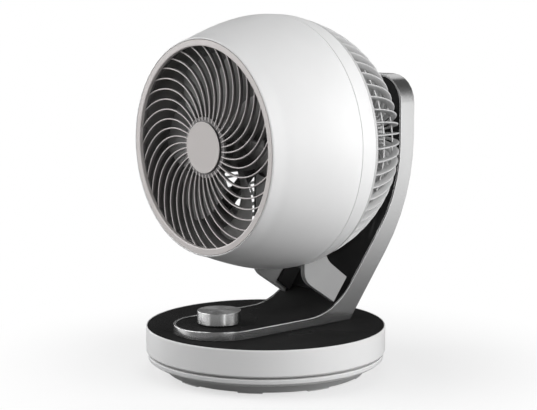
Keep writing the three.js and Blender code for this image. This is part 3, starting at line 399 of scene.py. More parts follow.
silver_knob = brushed("silver_knob", tones(0.66, 0.01), 0.24, 0.25, (0.02, 0.02, 1), 0.0,
                      turned_grooves)
zinc_steel = brushed("zinc_steel", tones(0.45, 0.06), 0.28, 0.42, (1, 0.2, 1), 0.006)
cast_aluminium = brushed("cast_aluminium", tones(0.48, 0.08), 0.40, 0.55, (1, 1, 1), 0.030)
print("finishes:", len(bpy.data.materials))


# %% Finish with a painted front over painted shade
def front_paint_over_painted_shade(name, front, body, start, end):
    """Two tones that meet at a depth: the paint covers what lies in front of start (a Y in
    millimetres), and behind end the dark body tone is painted shade."""
    finish, tree = new_finish(name)
    place = add_node(tree, "TexCoord").outputs["Object"]
    y = add_node(tree, "SeparateXYZ", {"Vector": place}).outputs["Y"]
    depth = add_node(tree, "MapRange", {"Value": y, "From Min": start * mm, "From Max": end * mm})
    # The body colour B is painted shade: it darkens what lies behind the painted front.
    mix = add_node(tree, "Mix", {"Factor": depth.outputs["Result"], "A": (*front, 1),
                                 "B": (*body, 1)}, data_type="RGBA")
    feed(tree, "Base Color", mix.outputs["Result"])
    drift_roughness(tree, 0.40, 0.50)
    grain(tree, cloud(tree, 0.6, 2), 0.003)
    return finish


# %% [markdown]
# ## Putting a piece in its place
# One call paints a piece, ties it to the body that carries it and says which solid it stands
# for. The piece is named after that solid.


# %% Place a piece
def dress(piece, body, finish, node):
    piece.name = "fine_" + node
    piece.data.materials.clear()
    piece.data.materials.append(finish)
    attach(piece, body)
    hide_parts(node)


def paint(finish, *nodes):
    """Gives the solids that stay visible a better finish."""
    for node in nodes:
        for slot in frame["nodes"][node].material_slots:
            slot.material = finish


# %% [markdown]
# ## The front shell
# One deep white bowl without a bottom. Its outline leaves the front rim at a slant and swells to
# the widest place just before the seam, so a cubic Bezier curve from rim to seam describes it
# with four control points. The wall follows inside at a constant distance.

# %% Front shell sizes
head_radius = outer_radius("front_shell")
shell_front, shell_rear = front_rear("front_shell")
lip_radius = 104.6
shell_lead = (112, shell_front + 24.6)
shell_widest_y = shell_rear - 8.15
shell_lead_out_y = shell_widest_y - 30
shell_wall = 2.5
lip_wall = 1.4
lip_depth = 8.6
flare_depth = 0.35
flare_place = 13.0
flare_width = 6.0


# %% Shell outline
def bezier(points, steps):
    """(1-t)^3 P0 + 3 (1-t)^2 t P1 + 3 (1-t) t^2 P2 + t^3 P3."""
    t = np.linspace(0, 1, steps)[:, None]
    p = np.array(points, float)
    return ((1 - t) ** 3 * p[0] + 3 * (1 - t) ** 2 * t * p[1] + 3 * (1 - t) * t ** 2 * p[2]
            + t ** 3 * p[3])


def shell_profile():
    """Rounded lip, Bezier outside, rounded seam edge, and the same curve one wall further in. A
    shallow dip behind the rim, depth exp(-(d / width)^2), draws the soft flare of the rim."""
    outer = bezier([(lip_radius, shell_front), shell_lead, (head_radius, shell_lead_out_y),
                    (head_radius, shell_widest_y)], 60)
    lip = [[lip_radius - lip_wall, shell_front + 0.9],
           [lip_radius - lip_wall + 0.2, shell_front + 0.3],
           [lip_radius - 0.75, shell_front], [lip_radius - 0.15, shell_front + 0.25]]
    past_flare = (outer[:, 1] - shell_front - flare_place) / flare_width
    outer[:, 0] -= flare_depth * np.exp(-past_flare ** 2)
    outer = outer[outer[:, 1] > shell_front + 0.8]
    seam = [[head_radius - 0.15, shell_rear - 0.5], [head_radius - 0.3, shell_rear - 0.15],
            [head_radius - 0.6, shell_rear], [head_radius - shell_wall, shell_rear]]
    inner = outer[::-1] - [shell_wall, 0]
    inner = inner[inner[:, 1] > shell_front + lip_depth + shell_wall]
    mouth = [[lip_radius - lip_wall, shell_front + lip_depth]]
    return np.concatenate([lip, outer, seam, inner, mouth])


shell = surface(turned(shell_profile(), 256, z=axis_z), True, True, 50)
dress(shell, "head", white_casing, "front_shell")
print("front shell:", len(shell.data.polygons), "faces")

# %% [markdown]
# ## The rear band
# A second white ring closes the shell behind the seam. It draws in by a few millimetres and has
# two notches underneath, where the fork passes when the head tilts. The ring is turned first,
# and the space that each fork plate sweeps is then cut out of it.

# %% Rear band sizes
band_front, band_rear = front_rear("rear_band")
band_rear_radius = 122.4
band_flange_inner = 113
seam_drop = 0.3
slot_gap = 0.8
slot_half = (high("fork_left").y - low("fork_left").y) / 2 / mm + slot_gap
slot_side = 0.7
slot_inner_x = low("fork_right").x / mm - slot_side
slot_outer_x = high("fork_cover_right").x / mm + slot_side
tilt_joint = next(joint for joint in frame["joints"] if joint["name"] == "head_tilt")
tilt_range = math.radians(tilt_joint["range_deg"][1])
tilt_sin, tilt_cos = math.sin(tilt_range), math.cos(tilt_range)


# %% Space that the fork sweeps
def slot_cutter(side, near=70.0, far=150.0):
    """The space that a fork plate sweeps through the head: a strip straight below the pivot,
    and the same strip turned about the pivot by the tilt range."""
    along, across = np.array([tilt_sin, -tilt_cos]), np.array([tilt_cos, tilt_sin])
    pivot = np.array([pivot_y, 0])
    outline = np.array([[pivot_y - slot_half, -near], [pivot_y - slot_half, -far],
                        pivot + along * far + across * slot_half,
                        pivot + along * near + across * slot_half])
    walls = [np.column_stack([np.full(4, side * x), outline])
             for x in (slot_inner_x, slot_outer_x)]
    faces = [[0, 1, 2, 3], [4, 5, 6, 7],
             [0, 1, 5, 4], [1, 2, 6, 5], [2, 3, 7, 6], [3, 0, 4, 7]]
    points = np.concatenate(walls) * mm + [0, 0, axis_z]
    return tidy_mesh(new_object(points, np.array(faces)))


def cut_slots(piece):
    for side in (-1, 1):
        notch(piece, slot_cutter(side))
    tidy_mesh(piece)


# %% Band outline
def band_profile():
    """Outside: a smooth fall from the seam to the grille. Inside: the same, one wall further
    in, with a flange."""
    y = np.linspace(band_front + 0.25, band_rear - 0.5, 24)
    share = (y - band_front) / (band_rear - band_front)
    seam_radius = head_radius - seam_drop
    fall = seam_radius - band_rear_radius - 0.4
    outside = np.column_stack([seam_radius - fall * share ** 2.6, y])
    front_edge = [[head_radius - 0.6, band_front]]
    rear_edge = [[band_rear_radius - 0.3, band_rear], [band_rear_radius - shell_wall, band_rear]]
    inside = outside[::-1][2:-3] - [shell_wall, 0]
    flange = [[seam_radius - shell_wall, band_front + 2.5],
              [band_flange_inner, band_front + 2.5], [band_flange_inner, band_front]]
    return np.concatenate([front_edge, outside, rear_edge, inside, flange])


band = surface(turned(band_profile(), 256, z=axis_z), True, True, 50)
cut_slots(band)
dress(band, "head", white_casing, "rear_band")
print("rear band:", len(band.data.polygons), "faces")

# %% [markdown]
# ## The front bezel and the hub disc
# The bezel is a flat silver ring inside the shell's lip. The hub disc is a shallow dish, and its
# middle is left bare. Its face has the silver paint, and its edge is painted near-black as shade.

# %% Bezel and hub disc
bezel_front, bezel_rear = front_rear("front_bezel")
bezel_outer = outer_radius("front_bezel")
bezel_inner = bezel_outer - 6
bezel = head_ring([
    (bezel_inner, bezel_front + 0.5, 0.35), (bezel_inner + 0.9, bezel_front + 0.1, 0.4),
    (bezel_outer, bezel_front + 0.1, 0.08),
    (bezel_outer, bezel_rear, 0.1), (bezel_inner, bezel_rear, 0.1)], 256)
dress(bezel, "head", warm_silver, "front_bezel")

disc_front, disc_rear = front_rear("hub_disc")
disc_radius = outer_radius("hub_disc")
disc = head_ring([
    (0, disc_front + 0.35, 0), (disc_radius * 0.5, disc_front + 0.30, 0),
    (disc_radius - 1.6, disc_front + 0.12, 0.3), (disc_radius - 1.2, disc_front, 0.2),
    (disc_radius, disc_front, 0.35), (disc_radius, disc_rear, 0), (0, disc_rear, 0)], 128)
# Near-black behind the disc's face is painted shade on its edge.
disc_paint_and_shade = front_paint_over_painted_shade("disc_paint_and_painted_shade", (0.53, 0.50, 0.49), (0.05, 0.05, 0.05),
                            disc_front + 0.45, disc_front + 0.5)
dress(disc, "head", disc_paint_and_shade, "hub_disc")

# %% [markdown]
# ## The front grille
# Thirty-six ribs leave the hub and bend further round the further out they run. The bend is a
# square law: the angle grows steadily with the radius, plus a share that grows with its square.
# Each rib is a rounded section carried along that line, and all ribs are one stack of grids.
# Only the noses of the ribs have the paint; behind them the ribs are a darker painted shade,
# which keeps the gaps between them dark.

# %% Front grille sizes
grille_front, grille_rear = front_rear("front_grille")
rib_count = 36
rib_width = 1.4
rib_turn_start = -2.7
rib_turn_radius = 37
rib_turn_rate = 0.29
rib_turn_growth = 0.0046
# The ribs start outside the disc, so the hub ring's front shows as a dark ring of painted shade.
rib_inner = 26.3
rib_outer = 99.5
grille_hub_radius = 29.4


# %% Ribs
def rib_angle(radius):
    """Degrees from +X towards +Z: start + rate d + growth d^2, with d the distance past the
    reference radius."""
    past = radius - rib_turn_radius
    return rib_turn_start + rib_turn_rate * past + rib_turn_growth * past ** 2


def rib_section(points=10):
    """A bar with a round nose towards the front: half a circle, then straight sides."""
    turn = np.linspace(0, np.pi, points - 2)
    nose = np.column_stack([np.cos(turn), -np.sin(turn)]) * rib_width / 2
    rear = [[-rib_width * 0.4, grille_rear - 0.1], [rib_width * 0.4, grille_rear - 0.1]]
    return np.concatenate([nose + [0, grille_front + rib_width / 2], rear])


def front_ribs(steps=34):
    """The section's first axis lies across the rib in the grille's plane, its second along Y."""
    radius = np.linspace(rib_inner, rib_outer, steps)
    turn = np.radians(rib_angle(radius)[None] + np.arange(rib_count)[:, None] * 360 / rib_count)
    line = np.stack([radius * np.cos(turn), radius * np.sin(turn)], -1)
    along = np.gradient(line, axis=1)
    along /= np.linalg.norm(along, axis=-1, keepdims=True)
    across = np.stack([-along[..., 1], along[..., 0]], -1)
    section = rib_section()
    plane = line[:, :, None] + across[:, :, None] * section[None, None, :, :1]
    depth = np.broadcast_to(section[:, 1], plane.shape[:-1])
    return np.stack([plane[..., 0], depth, plane[..., 1]], -1)


# %% Closed strips
def closed_strips(grids, smooth_angle, y=0.0, z=axis_z):
    """One object from a stack of strips, each a loop carried along a line. The first and the
    last loop are drawn together at their middle, so that every strip is closed."""
    grids = grids * mm + [0, y, z]
    first = np.broadcast_to(grids[:, :1].mean(2, keepdims=True), grids[:, :1].shape)
    last = np.broadcast_to(grids[:, -1:].mean(2, keepdims=True), grids[:, -1:].shape)
    return surface(np.concatenate([first, grids, last], 1), False, True, smooth_angle)


def joined(*pieces):
    """Joins pieces into the first."""
    bpy.context.view_layer.update()
    with bpy.context.temp_override(active_object=pieces[0],
                                   selected_editable_objects=list(pieces)):
        bpy.ops.object.join()
    return pieces[0]


# %% Grille from its pieces
ribs = closed_strips(front_ribs(), 50)
outer_ring = head_ring([
    (98, grille_front + 0.2, 0.3), (bezel_outer, grille_front, 0.1),
    (bezel_outer, grille_rear, 0.1), (98, grille_rear, 0.2)])
hub_ring = head_ring([
    (18, grille_front + 0.9, 0.1), (grille_hub_radius, grille_front + 0.9, 0.3),
    (grille_hub_radius, grille_rear, 0.2), (18, grille_rear, 0.2)], 96)
grille = joined(ribs, outer_ring, hub_ring)
# The darker tone behind the rib noses, on the rib sides and the hub ring's front, is painted
# shade.
rib_paint_and_shade = front_paint_over_painted_shade("rib_paint_and_painted_shade", (0.58, 0.545, 0.54), (0.19, 0.18, 0.18),
                           grille_front + 0.3, grille_front + 0.6)
dress(grille, "head", rib_paint_and_shade, "front_grille")
print("front grille:", len(grille.data.polygons), "faces in", rib_count, "ribs")

# %% [markdown]
# ## The air duct
# A charcoal tube behind the grille guides the air past the blade tips. It ends in a flange that is
# held between the shell and the motor mount.

# %% Air duct
duct_front, duct_rear = front_rear("air_duct")
duct_flange = outer_radius("air_duct")
duct_inner = 97.2
duct_outer = duct_inner + 1.6
flange_start = duct_rear - 2.5
duct = head_ring([
    (duct_inner, duct_front, 0.3), (duct_outer, duct_front, 0.3), (duct_outer, flange_start, 0.5),
    (duct_flange, flange_start, 0.4), (duct_flange, duct_rear, 0.4),
    (duct_inner, duct_rear, 1.2)])
dress(duct, "head", charcoal, "air_duct")

# %% [markdown]
# ## The impeller
# Seven broad blades grow from a cup-shaped hub. A blade is a surface over radius and chord: the
# chord gets longer, the pitch flatter and the sweep larger towards the tip, and the thickness
# swells in the middle of the chord.

# %% Impeller sizes
blade_count = 7
hub_radius = 26
hub_wall = 2.6
hub_front = low("impeller").y / mm
hub_rear = hub_front + 36
boss_radius = 8
boss_rear = hub_front + 26
shaft_bore = 4.3
blade_root = hub_radius - 1.2
blade_tip = duct_inner - 4.2
blade_middle = (hub_front + hub_rear) / 2
blade_sweep = math.radians(26)
blade_thick = 2.4
root_chord, tip_chord = 26, 62
root_rise, tip_rise = 24, 17


# %% Blades
def blade_skins(rows=26, columns=22):
    """With s the share along the radius and t across the chord from -1/2 to 1/2: the angle is
    sweep s^2 plus chord t / radius, and the place along the axis is rise t minus a parabola of
    camber."""
    s = np.linspace(0, 1, rows)[:, None, None]
    loop = round_turn(columns * 2)[None, :, None]
    t = np.cos(loop) / 2
    radius = blade_root + (blade_tip - blade_root) * s
    chord = root_chord + (tip_chord - root_chord) * s
    rise = root_rise + (tip_rise - root_rise) * s
    camber = (0.25 - t ** 2) * rise * 0.5
    skin = blade_thick * 0.62 * np.sin(loop) * (1 - 0.35 * s)
    angle = blade_sweep * s ** 2 + chord * t / radius
    y = blade_middle + rise * t - camber + skin
    return np.concatenate([radius * np.sin(angle), y + 0 * angle, radius * np.cos(angle)], -1)


def turned_copies(grid, count):
    """The grid turned about the fan axis by equal steps, as a stack."""
    turn = np.arange(count)[:, None, None] * 2 * np.pi / count
    x, y, z = grid[None, ..., 0], grid[None, ..., 1], grid[None, ..., 2]
    return np.stack([x * np.cos(turn) + z * np.sin(turn), y + 0 * turn,
                     z * np.cos(turn) - x * np.sin(turn)], -1)


# %% Impeller from its pieces
blades = closed_strips(turned_copies(blade_skins(), blade_count), 60)
hub = head_ring([
    (shaft_bore, hub_front, 0.3), (hub_radius, hub_front, 6.0), (hub_radius, hub_rear, 0.6),
    (hub_radius - hub_wall, hub_rear, 0.6), (hub_radius - hub_wall, hub_front + hub_wall, 4.0),
    (boss_radius, hub_front + hub_wall, 0.6), (boss_radius, boss_rear, 0.4),
    (shaft_bore, boss_rear, 0.2)], 96, 8)
impeller = joined(blades, hub)
dress(impeller, "fan", charcoal_blade, "impeller")
print("impeller:", len(impeller.data.polygons), "faces")

# %% [markdown]
# ## The rear grille
# Sixty thin fins follow an ellipsoid from the band to the flat rear hub, and two flat hoops tie
# them on the inside. Each fin is a strip between the outer ellipse and one that lies a fin's
# depth further in. Below, the two slots for the fork interrupt the fins and the hoops, and a
# frame edges each slot.

# %% Rear grille sizes
dome_centre_y = 6 + turn_y / mm
dome_length = 130.4
dome_radius = 125.3
fin_count = 60
fin_thickness = 1.5
fin_depth = 7.0
flange_front = low("rear_grille").y / mm
flange_depth = 3.2
flange_rear = flange_front + flange_depth
flange_inner = 114.4
rear_hub_radius = 36.0
rear_hub_wall = 2.4
slot_rail = 1.6


def dome_point(angle, depth):
    """Radius and Y on the ellipse at a meridian angle, moved in by the depth."""
    return ((dome_radius - depth) * np.cos(angle),
            dome_centre_y + (dome_length - depth) * np.sin(angle))


first_angle = math.asin((flange_front + flange_depth / 2 - dome_centre_y) / dome_length)
last_angle = math.acos((rear_hub_radius - 1) / dome_radius)


# %% [markdown]
# A fin is cut where it meets a slot. Going up the dome, a fin at the angle a from straight down
# comes nearer to the middle plane, because x is the radius times sin a. So the meridian angle at
# which it crosses each wall of the slot follows from an arc cosine, for every depth by itself.


# %% Fins
def past_fork(y, up):
    """How far a point lies behind the middle of the fork when the head is fully tilted."""
    return (y - pivot_y) * tilt_cos + up * tilt_sin


def past_slot(angle, turn):
    """How far a fin's outer edge lies behind the slot's end; in the slot this is below zero."""
    radius, y = dome_point(angle, 0.0)
    return past_fork(y, radius * np.cos(turn)) - (slot_half + slot_rail)


def fin_grid(turn, start, end, rows=28):
    """One closed strip: rows run along the meridian, and the loop round it has an edge rounded
    on the outside."""
    loop_depth = np.array([0.0, 0.0, 0.35, 1.1, fin_depth - 0.5, fin_depth,
                           fin_depth, fin_depth - 0.5, 1.1, 0.35])
    loop_side = np.array([-0.30, 0.30, 0.82, 1.0, 0.9, 0.5, -0.5, -0.9, -1.0, -0.82])
    share = np.linspace(0, 1, rows)[:, None]
    angle = start(loop_depth)[None] + (end(loop_depth) - start(loop_depth))[None] * share
    radius, y = dome_point(angle, loop_depth[None])
    side = np.broadcast_to((loop_side * (fin_thickness / 2))[None], radius.shape)
    x = radius * np.sin(turn) + side * np.cos(turn)
    z = radius * np.cos(turn) - side * np.sin(turn)
    return np.stack([x, y, z], -1)


# %% Where a fin is cut
def whole(angle):
    return lambda depth: np.full(depth.shape, angle)


def crossing(turn, x):
    """The meridian angle at which a fin's side distance is x, for each depth."""
    reach = x / abs(math.sin(turn))
    return lambda depth: np.arccos(np.clip(reach / (dome_radius - depth), -1, 1))


def fin_parts(turn):
    """A fin that meets a slot gives the part before the slot and the part after it."""
    uncut = [(whole(first_angle), whole(last_angle))]
    outer_x, inner_x = slot_outer_x + slot_rail * 0.5, slot_inner_x - slot_rail * 0.5
    first_x = dome_radius * math.cos(first_angle) * abs(math.sin(turn))
    if math.cos(turn) >= 0 or first_x <= inner_x:
        return uncut
    enter, leave = crossing(turn, outer_x), crossing(turn, inner_x)
    middle_depth = np.array([fin_depth / 2])
    enter_at = max(float(enter(middle_depth)[0]), first_angle)
    if past_slot(enter_at, turn) > 0:
        return uncut
    parts = []
    if enter_at > first_angle + 0.02:
        parts.append((whole(first_angle), enter))
    leave_at = float(leave(middle_depth)[0])
    if past_slot(leave_at, turn) > 0:
        angles = np.linspace(enter_at, leave_at, 200)
        leave_at = float(angles[np.argmax(past_slot(angles, turn) > 0)])
        leave = whole(leave_at)
    if leave_at < last_angle - 0.02:
        parts.append((leave, whole(last_angle)))
    return parts


fin_turns = np.arange(fin_count) * 2 * np.pi / fin_count
strips = [fin_grid(turn, *part) for turn in fin_turns for part in fin_parts(turn)]
fins = closed_strips(np.stack(strips), 50)
print("fins:", fin_count, "in", len(strips), "strips")


# %% [markdown]
# Each slot has a frame of three walls. A side wall stays at one distance from the middle plane,
# so its height on the dome is the root of r^2 - x^2. The end wall lies on the line that the fork
# reaches when the head is fully tilted, and its points are found on a fine list of angles.


# %% Slot frames
def dome_drop(radius, x):
    """Height below the axis at which the dome's circle of this radius is x off the middle."""
    return -np.sqrt(np.maximum(radius ** 2 - x ** 2, 0))


def slot_side_wall(x):
    """A wall at a constant distance x from the middle plane, from the flange to the slot's
    end."""
    angle = np.linspace(first_angle, 1.2, 400)
    radius, y = dome_point(angle, 0.0)
    last = angle[np.argmax(past_fork(y, dome_drop(radius, x)) - slot_half > slot_rail)]
    loop_depth = np.array([0.0, 0.0, fin_depth, fin_depth])
    loop_x = np.array([x, x + slot_rail, x + slot_rail, x])
    share = np.linspace(0, 1, 24)[:, None]
    spread = first_angle + (last - first_angle) * share + np.zeros((1, 4))
    radius, y = dome_point(spread, loop_depth[None])
    return np.stack([np.broadcast_to(loop_x, radius.shape), y, dome_drop(radius, loop_x)], -1)


def slot_end_wall():
    """The wall across the slot's rear end, on the line that the fork reaches at full tilt."""
    x = np.linspace(slot_inner_x - slot_rail, slot_outer_x + slot_rail, 8)
    loop_depth = np.array([0.0, 0.0, fin_depth, fin_depth])
    loop_past = slot_half + np.array([0, slot_rail, slot_rail, 0])
    angle = np.linspace(first_angle, 1.2, 2000)[:, None, None]
    radius, y = dome_point(angle, loop_depth[None, None])
    up = dome_drop(radius, x[None, :, None])
    reach = past_fork(y, up)
    at = np.argmax(reach > loop_past, axis=0)
    rows, columns = np.indices(at.shape)
    found_y = np.broadcast_to(y, reach.shape)[at, rows, columns]
    return np.stack([np.broadcast_to(x[:, None], at.shape), found_y, up[at, rows, columns]], -1)


slot_frames = [
    closed_strips(wall[None] * [side, 1, 1], 40)
    for side in (-1, 1)
    for wall in (slot_side_wall(slot_inner_x - slot_rail), slot_side_wall(slot_outer_x),
                 slot_end_wall())]


# %% [markdown]
# The hoops, the flange and the flat hub are turned like the rings before. The fork passes through
# the hoops and the flange too, so the slots are cut out of them.


# %% Hoops, flange and rear hub
def hoop(degrees, width):
    """A flat hoop with round edges on the inside of the fins, laid along the ellipse."""
    angle = math.radians(degrees)
    radius, y = dome_point(angle, fin_depth)
    turn = round_turn(14)
    slant = math.atan2(dome_radius * math.sin(angle), dome_length * math.cos(angle))
    along, out = width / 2 * np.cos(turn), 0.9 * np.sin(turn)
    wire = np.column_stack([radius - 0.4 - along * math.sin(slant) + out * math.cos(slant),
                            y + along * math.cos(slant) + out * math.sin(slant)])
    return surface(turned(wire, 192, z=axis_z), True, True, 60)


flange = head_ring([
    (flange_inner, flange_front, 0.2), (band_rear_radius, flange_front, 0.2),
    (band_rear_radius, flange_rear, 0.7), (flange_inner, flange_rear, 0.7)])
outer_hoop, inner_hoop = hoop(24.5, 2.6), hoop(46, 5.0)
for round_piece in (flange, outer_hoop, inner_hoop):
    cut_slots(round_piece)
hub_top = dome_point(math.acos(rear_hub_radius / dome_radius), 0.0)[1] + 0.4
rear_hub = head_ring([
    (0, hub_top - 0.5, 0), (27.0, hub_top - 0.25, 0.1), (27.6, hub_top - 0.9, 0.2),
    (28.6, hub_top - 0.9, 0.2), (29.2, hub_top - 0.1, 0.3),
    (rear_hub_radius, hub_top - 0.1, 1.2), (rear_hub_radius, hub_top - 9.0, 0.6),
    (rear_hub_radius - rear_hub_wall, hub_top - 9.0, 0.6),
    (rear_hub_radius - rear_hub_wall, hub_top - 3.0, 1.0), (0, hub_top - 3.0, 0)], 128)
rear_grille = joined(fins, outer_hoop, inner_hoop, flange, rear_hub, *slot_frames)
dress(rear_grille, "head", pale_grey, "rear_grille")
print("rear grille:", len(rear_grille.data.polygons), "faces")

# %% [markdown]
# ## The motor and its mount
# Through the fins the motor shows as a dark can with cooling ribs, held by a spider of four arms.

# %% Motor
motor_front, motor_rear = front_rear("motor_body")
motor_radius = outer_radius("motor_body")
cap_front, cap_rear = front_rear("motor_cap")
boss_end = motor_front + 8
bore_end = motor_front + 30.3


def motor_profile(ribs=9):
    """The can's wall steps in and out in a row of round cooling ribs."""
    start, end = boss_end + 24, motor_rear - 3
    pitch = (end - start) / ribs
    place = start + pitch * np.arange(ribs)[:, None] + pitch * np.array([[0.0, 0.35, 0.5, 0.85]])
    radius = motor_radius + np.broadcast_to(np.array([0.0, 0.0, -1.6, -1.6]), place.shape)
    return [
        (shaft_bore, motor_front, 0.2), (10, motor_front, 0.6), (10, boss_end, 0.6),
        (motor_radius, boss_end, 1.5),
        *[(r, y, 0.25) for r, y in zip(radius.ravel(), place.ravel())],
        (motor_radius, motor_rear - 2.5, 0.3), (motor_radius, motor_rear, 1.0),
        (0, motor_rear, 0), (0, bore_end, 0), (shaft_bore, bore_end, 0)]


motor = head_ring(motor_profile(), 96)
dress(motor, "head", cast_aluminium, "motor_body")
cap = head_ring([
    (0, cap_front, 0), (28, cap_front, 0.4), (27, cap_front + 4, 1.5), (24, cap_rear, 2.5),
    (12, cap_rear, 0.6), (11, cap_rear - 1.2, 0.6), (0, cap_rear - 1.2, 0)], 96)
dress(cap, "head", charcoal, "motor_cap")
dress(refined("motor_mount", 0.5, 2), "head", charcoal, "motor_mount")
print("motor:", len(motor.data.polygons), "faces")

# %% [markdown]
# ## The turning ring and the foot
# The white ring has a bright thin edge round the black top plate. Below it a narrow white band
# and the grey tray follow, each behind a dark gap.

# %% Turning ring and top plate
ring_radius = outer_radius("base_ring")
ring_bottom, rim = bottom_top("base_ring")
rim_line = 1.2
ring_inner = 111.3
ring_wall = 2.6
ring = base_ring([
    (ring_inner, ring_bottom, 0.2), (ring_radius - 1.7, ring_bottom, 0.4),
    (ring_radius, ring_bottom + 1.7, 0.8), (ring_radius, rim, 0.95),
    (ring_radius - rim_line, rim, 0.2), (ring_radius - rim_line, rim - 3.3, 0.1),
    (ring_radius - ring_wall, rim - 3.3, 0.1), (ring_radius - ring_wall, ring_bottom + 2, 0.3),
    (ring_inner, ring_bottom + 2, 0.2)])
dress(ring, "turntable", white_base, "base_ring")

plate_radius = outer_radius("top_plate")
plate_bottom = low("top_plate").z / mm
plate_top = rim - 0.1
plate = base_ring([
    (0, plate_bottom, 0), (plate_radius, plate_bottom, 0.2), (plate_radius, plate_top, 0.5),
    (0, plate_top, 0)])
dress(plate, "turntable", piano_black, "top_plate")
print("ring", round(ring_radius, 1), "mm, plate", round(plate_radius, 1), "mm in radius")

# %% Lower band and foot tray
band_bottom, band_top = bottom_top("lower_band")
band_outer = outer_radius("lower_band")
band_inner = 101.6
tray_lip = outer_radius("foot_tray")
lower = base_ring([
    (tray_lip + 0.3, band_bottom, 0.2), (band_outer - 2, band_bottom, 0.6),
    (band_outer - 0.6, band_bottom + 1.2, 0.9), (band_outer, band_top - 0.6, 0.3),
    (band_outer - 0.6, band_top, 0.2), (band_inner, band_top, 0.2),
    (band_inner, band_top - 2.2, 0.2), (tray_lip + 0.3, band_top - 2.2, 0.2)])
dress(lower, "base", white_base, "lower_band")

tray_bottom, tray_top = bottom_top("foot_tray")
tray_floor = tray_bottom + 2.4
slope_top = tray_bottom + 9.3
foot_radius = 99
tray = base_ring([
    (0, tray_bottom, 0), (foot_radius, tray_bottom, 1.0), (foot_radius + 9.5, slope_top, 0.5),
    (tray_lip, slope_top, 0.5), (tray_lip, tray_top - 3.2, 0.3), (103.7, tray_top - 3.2, 0.3),
    (103.7, tray_top, 0.4), (101.3, tray_top, 0.4), (101.3, tray_bottom + 8.1, 0.8),
    (96.6, tray_floor, 0.8), (20, tray_floor, 0.8), (20, tray_floor + 6, 0.8),
    (0, tray_floor + 6, 0)])
dress(tray, "base", foot_grey, "foot_tray")

# %% [markdown]
# Nine rubber pads lie along the edge of the foot. A pad is a straight bar bent to the foot's
# curve: its soft rectangular section is carried along an arc.

# %% Pads
pad_count = 9
pad_outer = foot_radius - 0.4
pad_inner = pad_outer - 9.6
pad_height = 1.0
pad_half_turn = 24 / 2 / pad_outer


def pad_grid(index):
    """The section's point (r, h) at the turn a becomes x = r sin a, y = -r cos a, z = h."""
    section = softened([(pad_inner, 0.0, 0.3), (pad_outer, 0.0, 0.3),
                        (pad_outer, pad_height, 0.1), (pad_inner, pad_height, 0.1)], 3)
    middle_turn = index * 2 * np.pi / pad_count
    turn = middle_turn + np.linspace(-pad_half_turn, pad_half_turn, 14)[:, None]
    radius, height = section[None, :, 0], section[None, :, 1]
    return np.stack([radius * np.sin(turn), -radius * np.cos(turn), height + 0 * turn], -1)


for index in range(pad_count):
    pad = closed_strips(pad_grid(index)[None], 40, turn_y, 0.0)
    dress(pad, "base", rubber, f"foot_{index + 1}")
print("pads:", pad_count)

# %% [markdown]
# ## The speed knob
# A solid looking silver cap with a slightly crowned top and a rounded edge. Its top and its side
# are turned, which leaves fine grooves round the axis, and anisotropic gloss gives their glint.

# %% Knob
knob_bottom, knob_top = bottom_top("knob")
knob_radius = outer_radius("knob")
knob_inner = knob_radius - 2
knob = base_ring([
    (0, knob_top, 0), (knob_radius * 0.5, knob_top - 0.08, 0), (knob_radius, knob_top - 0.3, 0.4),
    (knob_radius, knob_bottom, 0.4), (knob_inner, knob_bottom, 0.2),
    (knob_inner, knob_bottom + 6, 0.5), (3.3, knob_bottom + 6, 0.4), (3.3, knob_top - 2.4, 0),
    (0, knob_top - 2.4, 0)], 128, middle("knob").y)
dress(knob, "switch_knob", silver_knob, "knob")
print("knob:", round(2 * knob_radius, 1), "mm across")

# %% [markdown]
# ## The arm and the fork
# The arm is a silver band with black gloss panels in front and behind. The fork has two plies on
# each side with a dark groove between them. The band's brushed lines follow its long edge, so its
# bevel is kept as a plain mesh.

# %% Arm and fork
dress(settled(refined("arm_frame", 0.45)), "turntable", silver_arm, "arm_frame")
copies = [("arm_front_panel", 0.25), ("arm_rear_panel", 0.25), ("fork_plinth", 0.4)]
for node, bevel in copies:
    dress(refined(node, bevel), "turntable", piano_black, node)
for node in ("fork_left", "fork_cover_left", "fork_right", "fork_cover_right"):
    dress(refined(node, 0.6), "turntable", fork_grey, node)
print("fine copies:", 1 + len(copies) + 4)

# %% [markdown]
# ## What stays as it is
# Pieces inside the base and the hinge are simple turned or flat parts. Their solids are kept and
# only get a finish.

# %% Finishes for the kept solids
paint(zinc_steel, "spindle", "spindle_screw", "retaining_washer", "swing_motor", "knob_shaft",
      "arm_spine", "motor_shaft", "tilt_pin_left", "tilt_pin_right", "friction_washer_left",
      "friction_washer_right", *[f"arm_bolt_{n}" for n in range(1, 5)])
paint(acetal, "sun_gear", "swing_pinion", "thrust_ring")
paint(cast_iron, "counterweight", "heel_block")
paint(foot_grey, "turntable_plate")
paint(charcoal, "cord_inlet", "switch_body", "motor_capacitor", "impeller_nut")
paint(board_green, "control_board")

# %% [markdown]
# ## The floor
# The floor is a pale disc that fades to plain white with distance, so that the horizon never
# shows and the shadow still falls. Gloss rays see the white surroundings too. Near the base they
# meet three white cards and a dark floor between them, as in a photo studio, because brushed
# metal only looks like metal when it has something bright and something dark to show.

# %% Floor
card_azimuth = 76.0
card_count = 3
near_cards = (0.18, 0.30)
far_white = (0.35, 1.6)
seen_fade = (0.12, 0.36)
seen_least = 0.6
floor_tone = (0.18, 0.18, 0.18, 1)
seen_tone = (0.90, 0.90, 0.90, 1)


